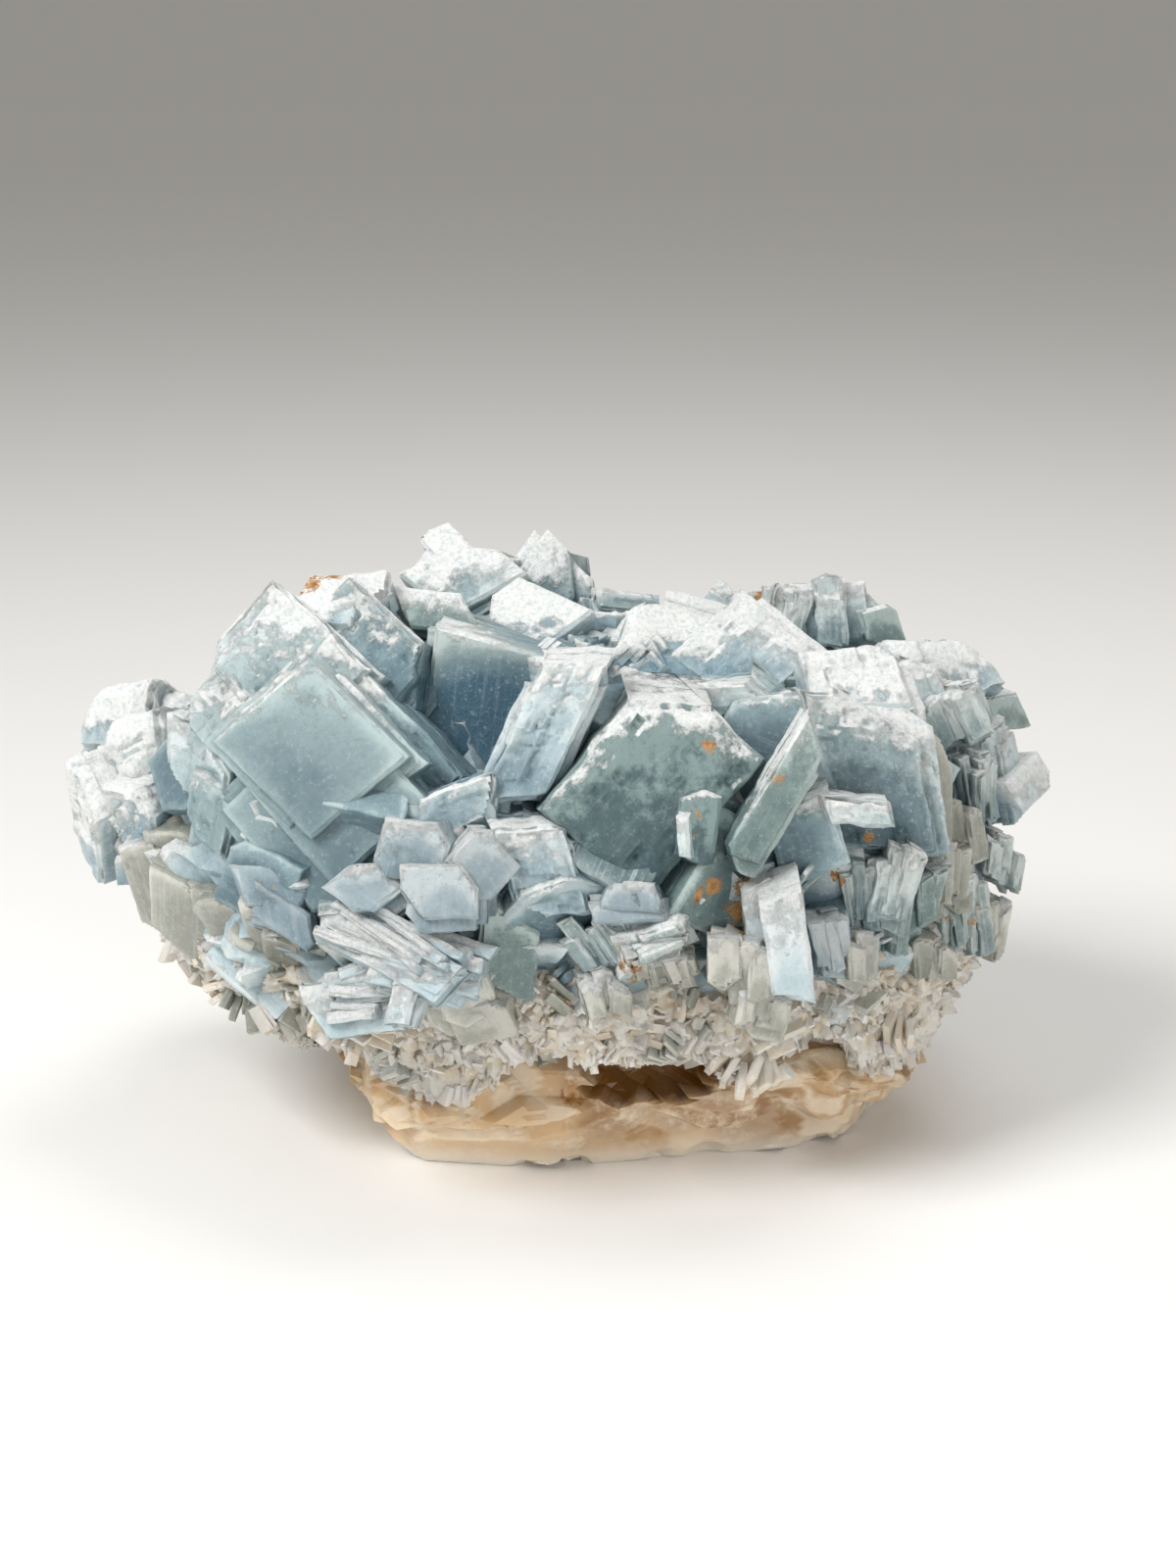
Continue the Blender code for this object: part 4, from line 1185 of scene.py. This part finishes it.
def tuft(name, root, along, count, size, fan, finish, rng):
    """Blades side by side that spread like a fan from one root."""
    facing = along.cross(random_way(rng)).normalized()
    hinge = along.cross(facing)
    blades = []
    for number in range(count):
        share = (number + 0.5) / count - 0.5
        lean = fan * share + rng.uniform(-TUFT_LEAN, TUFT_LEAN)
        turn = Matrix.Rotation(math.radians(lean), 3, hinge)
        twist = Matrix.Rotation(math.radians(rng.uniform(-TUFT_TWIST, TUFT_TWIST)), 3, along)
        length = size[0] * rng.uniform(*TUFT_LENGTH) * (1 - TUFT_SHORTER_ASIDE * abs(share))
        spot = root + facing * share * count * size[2] * TUFT_SPACING
        spot += hinge * rng.uniform(-TUFT_SHIFT, TUFT_SHIFT) * size[1]
        blades.append(blade(f"{name}_{number}", spot, turn @ along, twist @ (turn @ facing),
                            (length, size[1] * rng.uniform(*TUFT_WIDTH),
                             size[2] * rng.uniform(*TUFT_THICK)), finish, rng.uniform(*TUFT_CORNER)))
    return blades


def inside_crystal(points, crystal, margin):
    """Which of the points lie in a crystal, or within margin mm of its sides."""
    local = (points - np.array(crystal.place)) @ np.array(standing(crystal))
    bend = math.radians(crystal.corner)
    y = local[:, 1] / (crystal.edges[1] * math.sin(bend))
    x = (local[:, 0] - y * crystal.edges[1] * math.cos(bend)) / crystal.edges[0]
    return ((np.abs(x) < 0.5 + margin / crystal.edges[0])
            & (np.abs(y) < 0.5 + margin / crystal.edges[1])
            & (local[:, 2] < GAP_MARGIN) & (local[:, 2] > -crystal.thick))


gap_ways = [way for way in (random_way(gap_rng) for _ in range(GAP_TRIES)) if way.z > GAP_LOWEST]
probe = np.array([MASS_MIDDLE + way * envelope(way) * level
                  for way in gap_ways for level in GAP_LEVELS])
taken = np.zeros(len(probe), dtype=bool)
for crystal in chosen:
    taken |= inside_crystal(probe, crystal, GAP_MARGIN)
filled = taken.copy()
for crystal in grown_crystals:
    filled |= inside_crystal(probe, crystal, 0.0)
taken = taken.reshape(len(gap_ways), -1)
filled = filled.reshape(len(gap_ways), -1)

# The way the blades lie in some parts of the front: a point of it, and their long way there.
LAY_REACH = 22.0
LAYS = ((Vector((-58, -35, 48)), Vector((0.75, -0.1, -0.65))),
        (Vector((-40, -48, 60)), Vector((0.85, -0.3, -0.35))),
        (Vector((-10, -52, 48)), Vector((0.3, -0.6, 0.6))),
        (Vector((14, -52, 50)), Vector((0.55, -0.5, 0.6))),
        (Vector((44, -48, 50)), Vector((0.1, -0.4, 0.9))),
        (Vector((76, -26, 55)), Vector((0.05, -0.2, 0.95))))
# How much chance there is in a blade's way, freely and where the lay is set.
LOOSE = 0.45
LOOSE_IN_LAY = 0.15
LAY_HOLD = 0.9


def lie(spot, way, rng):
    """The long way of the blades at a place: outwards, or as its part of the front has it."""
    along = way + LOOSE * random_way(rng)
    for middle, lay in LAYS:
        near = max(1 - (spot - middle).length / LAY_REACH, 0)
        along = along.lerp(lay + LOOSE_IN_LAY * random_way(rng), min(2 * near, LAY_HOLD))
    return along.normalized()


gap_blades = []
for number, way in enumerate(gap_ways):
    first_taken = int(np.argmax(taken[number])) if taken[number].any() else len(GAP_LEVELS)
    first_filled = int(np.argmax(filled[number])) if filled[number].any() else len(GAP_LEVELS)
    if first_taken < len(GAP_LEVELS) and first_taken <= first_filled:
        continue
    on_filler = first_filled < len(GAP_LEVELS)
    if on_filler and (way.y > 0 or gap_rng.random() > GAP_BESIDE_FILLER):
        continue
    reach = envelope(way)
    floor_share = (core_point(way) - MASS_MIDDLE).length / reach
    share = max(floor_share, GAP_LEVELS[first_filled] if on_filler else 0)
    root = MASS_MIDDLE + way * (reach * share - GAP_SUNK)
    space = (GAP_REACH - share) * reach
    if space < GAP_LEAST or any((root - middle).length < free for middle, free in GAP_FREE):
        continue
    along = lie(root, way, gap_rng)
    length = min(gap_rng.uniform(*GAP_LENGTH), space + GAP_SUNK,
                 max(GAP_SHORTEST, GAP_TOP_SHARE * (GAP_TOP - root.z)))
    gap_blades += tuft(f"gap_{number}", root, along, gap_rng.randrange(*GAP_BLADES),
                       (length, gap_rng.uniform(*GAP_WIDTH), gap_rng.uniform(*GAP_THICK)),
                       gap_rng.choice(GAP_FANS), finish_at(root, GAP_ZONES, gap_rng), gap_rng)
pieces_by_side("gap", gap_blades, (("left", -200, -20), ("middle", -20, 35), ("right", 35, 200)))

# The crust round the foot.
# A pale sugary band of tiny crystals grown together hangs over the edge of the base, with thin
# blades standing out from it in rosettes.
# It runs round an oval that widens upwards: where the oval's middle is, its half length and its half
# depth at the foot's height, each with what a mm of height adds.
CRUST_TOP = 50.0
CRUST_FOOT = 22.0
CRUST_MIDDLE = (10, -0.33)
CRUST_HALF_LENGTH = (72, 0.83)
CRUST_HALF_DEPTH = (45, 0.30)
# The share of the oval that the band has at its top and where it is full, how far down it is full,
# and, from the share CRUST_BEND of the way down, how far it is tucked in underneath, in mm.
CRUST_SHARE = (0.80, 0.95)
CRUST_FULL = 0.3
CRUST_BEND = 0.68
CRUST_TUCK = 13.0
CRUST_TUCK_BEND = 1.3
CRUST_TUCK_RISE = 2.5
# The angle below level that the band looks at, in degrees: at its top, and how much more at its foot.
CRUST_LOOKS = (10, 75)
# Its crystals, as the druse's are given, and how much in mm and how widely it swells.
CRUST_FACETS = ((4.2, 0.60, 0.6), (1.7, 0.60, 0.35))
CRUST_SWELL = 1.2
CRUST_SWELL_SPACING = 6
CRUST_WELD = 0.000001
CRUST_SHARP = 20
CRUST_AROUND = 620
CRUST_DOWN = 60
# How low the band hangs along the front: x and the height of its lower edge, in mm.
CRUST_EDGE = ((-80, 26), (-66, 25), (-53, 24), (-45, 28), (-36, 27), (-31, 20), (-27, 17), (-14, 22),
              (-3, 30), (4, 32), (8, 29), (18, 30), (28, 31), (34, 24), (41, 23), (45, 26), (50, 32),
              (57, 30), (61, 24), (66, 19), (78, 16), (90, 23))
CRUST_BACK_EDGE = 24.0
CRUST_BACK_UNEVEN = 5
CRUST_BACK_SPACING = 15
CRUST_FRONT_FADES = 20


def crust_point(around, down):
    """A point of the band and the way it looks there; down runs from 0 at its top to 1 underneath."""
    def ring(height):
        middle, half_length, half_depth = (at_foot + growth * (height - CRUST_FOOT) for at_foot, growth
                                           in (CRUST_MIDDLE, CRUST_HALF_LENGTH, CRUST_HALF_DEPTH))
        return Vector((half_length * math.cos(around) + middle, half_depth * math.sin(around), height))

    low_ring = ring(CRUST_FOOT)
    front = min(max(0.5 - low_ring.y / CRUST_FRONT_FADES, 0), 1)
    edge_x, edge_z = zip(*CRUST_EDGE)
    back = CRUST_BACK_EDGE + CRUST_BACK_UNEVEN * noise.noise(low_ring / CRUST_BACK_SPACING)
    low = float(np.interp(low_ring.x, edge_x, edge_z)) * front + back * (1 - front)
    outward = Vector((math.cos(around) / CRUST_HALF_LENGTH[0], math.sin(around) / CRUST_HALF_DEPTH[0],
                      0)).normalized()
    share = min(down / CRUST_BEND, 1)
    tucked = max(down - CRUST_BEND, 0) / (1 - CRUST_BEND)
    height = CRUST_TOP + (low - CRUST_TOP) * share
    point = ring(height)
    full = min(down / CRUST_FULL, 1)
    point.xy = point.xy * (CRUST_SHARE[0] + (CRUST_SHARE[1] - CRUST_SHARE[0]) * full * (2 - full))
    point -= outward * CRUST_TUCK * tucked ** CRUST_TUCK_BEND
    point.z += CRUST_TUCK_RISE * tucked ** 2
    drop = math.radians(CRUST_LOOKS[0] + CRUST_LOOKS[1] * max(share * 1.4 - 0.6, 0) ** 2)
    return point, outward * math.cos(drop) - Vector((0, 0, math.sin(drop)))


crust_bm = bmesh.new()
bmesh.ops.create_grid(crust_bm, x_segments=CRUST_AROUND, y_segments=CRUST_DOWN, size=0.5)
crust_grain, crust_habit = growth_layers(crust_bm)
for vert in crust_bm.verts:
    point, outward = crust_point((vert.co.x + 0.5) * math.tau, 0.5 - vert.co.y)
    lift = sum(facets(point, *kind) for kind in CRUST_FACETS)
    lift += CRUST_SWELL * noise.noise(point / CRUST_SWELL_SPACING)
    point += outward * lift
    vert.co = (point + CENTRING) * MM
    vert[crust_grain] = vert.co
    # Painted light and shade: the crust's raised crystals get brighter rims and its hollows deeper
    # colour.
    vert[crust_habit] = (0.5 + 0.3 * lift, 0.30 - 0.22 * lift, noise.noise(point / 8) + 0.5, 0)
bmesh.ops.remove_doubles(crust_bm, verts=crust_bm.verts, dist=CRUST_WELD)
finish_piece("sugar_crust", crust_bm, barite("crust"), "barite_crystals", CRUST_SHARP)

# Small blades on the band. Between two shares of the way down it stand tufts that look outwards and
# single blades, and a fringe hangs from its edge. Lengths, widths and thicknesses are in mm.
ROSETTES = 80
ROSETTE_DOWN = (0.12, 0.72)
ROSETTE_SUNK = 2.6
ROSETTE_LOOSE = 0.6
ROSETTE_BLADES = (3, 8)
ROSETTE_SIZE = ((3.2, 5.6), (2.5, 5.5), (0.8, 1.8))
ROSETTE_FAN = (20, 100)
SINGLES = 1900
SINGLE_DOWN = (0.1, 0.8)
SINGLE_SUNK = 0.8
SINGLE_LOOSE = 0.8
SINGLE_SIZE = ((1.2, 2.4), (0.9, 2.2), (0.6, 1.5))
FRINGE = 420
FRINGE_DOWN = (0.66, 0.76)
FRINGE_SUNK = 1.0
FRINGE_LOOSE = 0.5
FRINGE_SIZE = ((1.6, 3.6), (0.9, 1.9), (0.4, 0.9))
rim_rng = random.Random(29)
rim_blades = []


def rim_spot(down, sunk):
    """A place a little under the band's surface, and the way it looks there."""
    spot, outward = crust_point(rim_rng.uniform(0, math.tau), rim_rng.uniform(*down))
    return spot - outward * sunk, outward


def rim_size(ranges):
    """A length, a width and a thickness."""
    return tuple(rim_rng.uniform(*span) for span in ranges)


for number in range(ROSETTES):
    spot, outward = rim_spot(ROSETTE_DOWN, ROSETTE_SUNK)
    along = (outward + ROSETTE_LOOSE * random_way(rim_rng)).normalized()
    rim_blades += tuft(f"rosette_{number}", spot, along, rim_rng.randrange(*ROSETTE_BLADES),
                       rim_size(ROSETTE_SIZE), rim_rng.uniform(*ROSETTE_FAN),
                       rim_rng.choice(("crust", "sugar", "sugar", "beige")), rim_rng)
for number in range(SINGLES):
    spot, outward = rim_spot(SINGLE_DOWN, SINGLE_SUNK)
    along = (outward + SINGLE_LOOSE * random_way(rim_rng)).normalized()
    rim_blades.append(blade(f"single_{number}", spot, along, random_way(rim_rng),
                            rim_size(SINGLE_SIZE), rim_rng.choice(("crust", "sugar"))))
for number in range(FRINGE):
    spot, outward = rim_spot(FRINGE_DOWN, FRINGE_SUNK)
    along = (outward * 0.5 - Vector((0, 0, 1)) + FRINGE_LOOSE * random_way(rim_rng)).normalized()
    rim_blades.append(blade(f"fringe_{number}", spot, along, random_way(rim_rng),
                            rim_size(FRINGE_SIZE), "crust"))
# The large rosettes of the front: root, way it hangs, blades, and length, width and thickness.
LARGE_FAN = 80
LARGE_ROSETTES = (((35, -40, 27), (-0.3, -0.8, -0.5), 4, (6, 6, 1.9)),
                  ((40, -39, 26), (0.2, -0.8, -0.6), 4, (6, 5, 1.8)),
                  ((41, -39, 34), (0.2, -0.9, -0.3), 4, (6, 7, 1.6)),
                  ((66, -26, 30), (-0.5, -0.8, -0.5), 5, (7, 6, 1.5)),
                  ((70, -24, 38), (0.3, -0.7, 0.6), 5, (7, 6, 1.4)),
                  ((-52, -26, 33), (0.1, -0.8, -0.6), 4, (4, 6, 2.2)),
                  ((12, -44, 40), (0.0, -0.8, 0.4), 5, (7, 6, 1.3)))
for number, (root, way, count, size) in enumerate(LARGE_ROSETTES):
    rim_blades += tuft(f"large_rosette_{number}", Vector(root), Vector(way).normalized(), count, size,
                       LARGE_FAN, "crust", rim_rng)
pieces_by_side("rim", rim_blades, (("left", -200, -10), ("right", -10, 200)))

# The base of broken calcite.
# Cream and honey coloured calcite that the barite grew on, broken off flat underneath, with flakes
# out of its broken faces and a dark brown hollow at the front.
BASE_MIDDLE = Vector((14.0, 1.0, 0.0))
BASE_HALF_LENGTH = 64.0
BASE_HALF_DEPTH = 45.0
BASE_HEIGHT = 37.0
# How high its middle is as a share of its height, and how uneven it is all round.
BASE_WAIST = 0.30
BASE_UNEVEN = 0.05
# Its broken faces: a point on each, the side it looks to in degrees from +X, and its tilt.
BREAKS = [
    ((-40, 0, 10), 184, -46),
    ((-34, -27, 6), 228, -40),
    ((-14, -36, 9), 262, -36),
    ((16, -37, 14), 280, -34),
    ((40, -32, 7), 296, -36),
    ((66, -12, 6), 330, -44),
    ((70, 14, 12), 12, -36),
    ((44, 36, 10), 62, -34),
    ((6, 41, 10), 92, -26),
    ((-30, 30, 10), 138, -36),
    ((-48, -14, 24), 205, -12),
    ((-24, -40, 24), 248, -8),
]
base_bm = bmesh.new()
bmesh.ops.create_icosphere(base_bm, subdivisions=6, radius=1)
for vert in base_bm.verts:
    direction = vert.co.normalized()
    wave = 1 + BASE_UNEVEN * math.sin(5 * direction.x + 2) * math.cos(4 * direction.y)
    vert.co = BASE_MIDDLE + Vector((direction.x * BASE_HALF_LENGTH * wave,
                                    direction.y * BASE_HALF_DEPTH * wave,
                                    BASE_HEIGHT * (BASE_WAIST + (1 - BASE_WAIST) * direction.z)))
planes = []
for point, side, tilt in BREAKS:
    around, fall = math.radians(side), math.radians(tilt)
    planes.append((Vector(point), Vector((math.cos(around) * math.cos(fall),
                                          math.sin(around) * math.cos(fall), math.sin(fall)))))
planes.append((Vector((0, 0, 0)), Vector((0, 0, -1))))
for vert in base_bm.verts:
    for point, normal in planes:
        beyond = (vert.co - point).dot(normal)
        if beyond > 0:
            vert.co -= normal * beyond
# Conchoidal flakes: shallow hollow bites out of the broken faces, with sharp ridges between them.
# How many of each size there are, their radii, their depths, and the heights where they start.
FLAKES = ((44, (30, 90), (0.6, 2.4), (2, 34)), (16, (9, 16), (0.6, 1.4), (2, 30)),
          (60, (3, 6), (0.6, 1.6), (0, 2)))
FLAKE_DEEPEST = 3.2
# Flakes start this far from the middle, with the distance along Y counted this much more, and look
# away from this height of the middle, with Y and Z weighed like this.
FLAKE_FREE = 40
FLAKE_FREE_Y = 1.5
FLAKE_HEIGHT = 16
FLAKE_WEIGHTS = (1.8, 0.9)
flake_rng = random.Random(41)
whole = np.array([vert.co for vert in base_bm.verts])
spots = whole.copy()
tint = np.full(len(spots), 0.5)
for count, radii, depths, heights in FLAKES:
    starts = np.flatnonzero((whole[:, 2] >= heights[0]) & (whole[:, 2] <= heights[1])
                            & (np.hypot(whole[:, 0] - BASE_MIDDLE.x,
                                        FLAKE_FREE_Y * (whole[:, 1] - BASE_MIDDLE.y))
                               > FLAKE_FREE))
    for _ in range(count):
        pick = whole[starts[flake_rng.randrange(len(starts))]]
        outward = Vector((pick[0] - BASE_MIDDLE.x, FLAKE_WEIGHTS[0] * (pick[1] - BASE_MIDDLE.y),
                          FLAKE_WEIGHTS[1] * (pick[2] - FLAKE_HEIGHT))).normalized()
        radius = flake_rng.uniform(*radii)
        centre = pick + np.array(outward) * (radius - flake_rng.uniform(*depths))
        away = spots - centre
        length = np.linalg.norm(away, axis=1)
        bitten = centre + away / np.maximum(length, 0.01)[:, None] * radius
        hit = (length < radius) & (np.linalg.norm(bitten - whole, axis=1) < FLAKE_DEEPEST)
        spots[hit] = bitten[hit]
        tint[hit] = flake_rng.random()
HOLLOW_MIDDLE = Vector((18, -37, 22))
HOLLOW_HALF = (12.0, 10.0, 5.5)
HOLLOW_RAGGED = 0.12
HOLLOW_FRONT_Y = -20
# The depth in mm at which the hollow has its full colour.
HOLLOW_DARKENS = 1.5
ragged = 1 + HOLLOW_RAGGED * np.sin(spots[:, 0] * 0.9 + spots[:, 2] * 1.7)
scaled = (spots - np.array(HOLLOW_MIDDLE)) / (np.array(HOLLOW_HALF) * ragged[:, None])
across = scaled[:, 0] ** 2 + scaled[:, 2] ** 2
front = (across < 1) & (spots[:, 1] < HOLLOW_FRONT_Y)
deep = HOLLOW_MIDDLE.y + HOLLOW_HALF[1] * np.sqrt(np.clip(1 - across, 0, 1))
hollow_depth = np.where(front, np.maximum(deep - spots[:, 1], 0), 0)
spots[:, 1] += hollow_depth
base_tone = base_bm.verts.layers.float_color.new("tone")
for vert, spot, shade, depth in zip(base_bm.verts, spots, tint, hollow_depth):
    vert.co = Vector(spot)
    vert.co.z = max(vert.co.z, 0.0)
    vert[base_tone] = (shade, min(depth / HOLLOW_DARKENS, 1), 0, 1)
    vert.co = (vert.co + CENTRING) * MM
HONEY = (0.62, 0.42, 0.22, 1)
BROWN = (0.30, 0.15, 0.05, 1)
CREAM = (0.74, 0.62, 0.46, 1)
PALE_CREAM = (0.82, 0.72, 0.57, 1)
CHALK = (0.88, 0.82, 0.72, 1)
HOLLOW_BROWN = (0.19, 0.080, 0.012, 1)
BASE_SHARP = 11
calcite, calcite_tree, calcite_shader = principled("calcite_base")
where = add_node(calcite_tree, "ShaderNodeTexCoord").outputs["Object"]
tone = add_node(calcite_tree, "ShaderNodeAttribute", attribute_name="tone")
tone_parts = add_node(calcite_tree, "ShaderNodeSeparateColor", {"Color": tone.outputs["Color"]})
wide = cloud(calcite_tree, where, 34, 4, 0.6)
veil = cloud(calcite_tree, where, 130, 7, 0.70)
grit = cloud(calcite_tree, where, 600, 4, 0.7)
height_up = add_node(calcite_tree, "ShaderNodeSeparateXYZ", {"Vector": where}).outputs["Z"]
colour = layer_colour(calcite_tree, between(calcite_tree, wide, 0.44, 0.66), HONEY, BROWN)
colour = layer_colour(calcite_tree, between(calcite_tree, veil, 0.46, 0.68), colour, CREAM)
pale_flake = between(calcite_tree, tone_parts.outputs[0], 0.3, 0.9)
pale_flake = calculate(calcite_tree, "MULTIPLY", pale_flake, 0.6)
colour = layer_colour(calcite_tree, pale_flake, colour, PALE_CREAM)
low = add_up(calcite_tree, height_up, (veil, 0.006))
low_white = calculate(calcite_tree, "SUBTRACT", 1.0, between(calcite_tree, low, 0.003, 0.010))
low_white = calculate(calcite_tree, "MULTIPLY", low_white, 0.75)
colour = layer_colour(calcite_tree, low_white, colour, CHALK)
colour = layer_colour(calcite_tree, tone_parts.outputs[1], colour, HOLLOW_BROWN)
rust = add_node(calcite_tree, "ShaderNodeGroup", node_tree=rust_stain)
colour = layer_colour(calcite_tree, rust.outputs["Amount"], colour, rust.outputs["Color"])
calcite_tree.links.new(colour, calcite_shader.inputs["Base Color"])
calcite_shader.inputs["Roughness"].default_value = 0.32
stone_light(calcite_shader, 1.6, 0.3, (1.0, 0.6, 0.35), 0.004)
relief = add_up(calcite_tree, veil, (grit, 0.3))
bump = add_node(calcite_tree, "ShaderNodeBump", {"Height": relief, "Strength": 0.5, "Distance": 0.001})
calcite_tree.links.new(bump.outputs["Normal"], calcite_shader.inputs["Normal"])
finish_piece("calcite_base", base_bm, calcite, "calcite_matrix", BASE_SHARP)
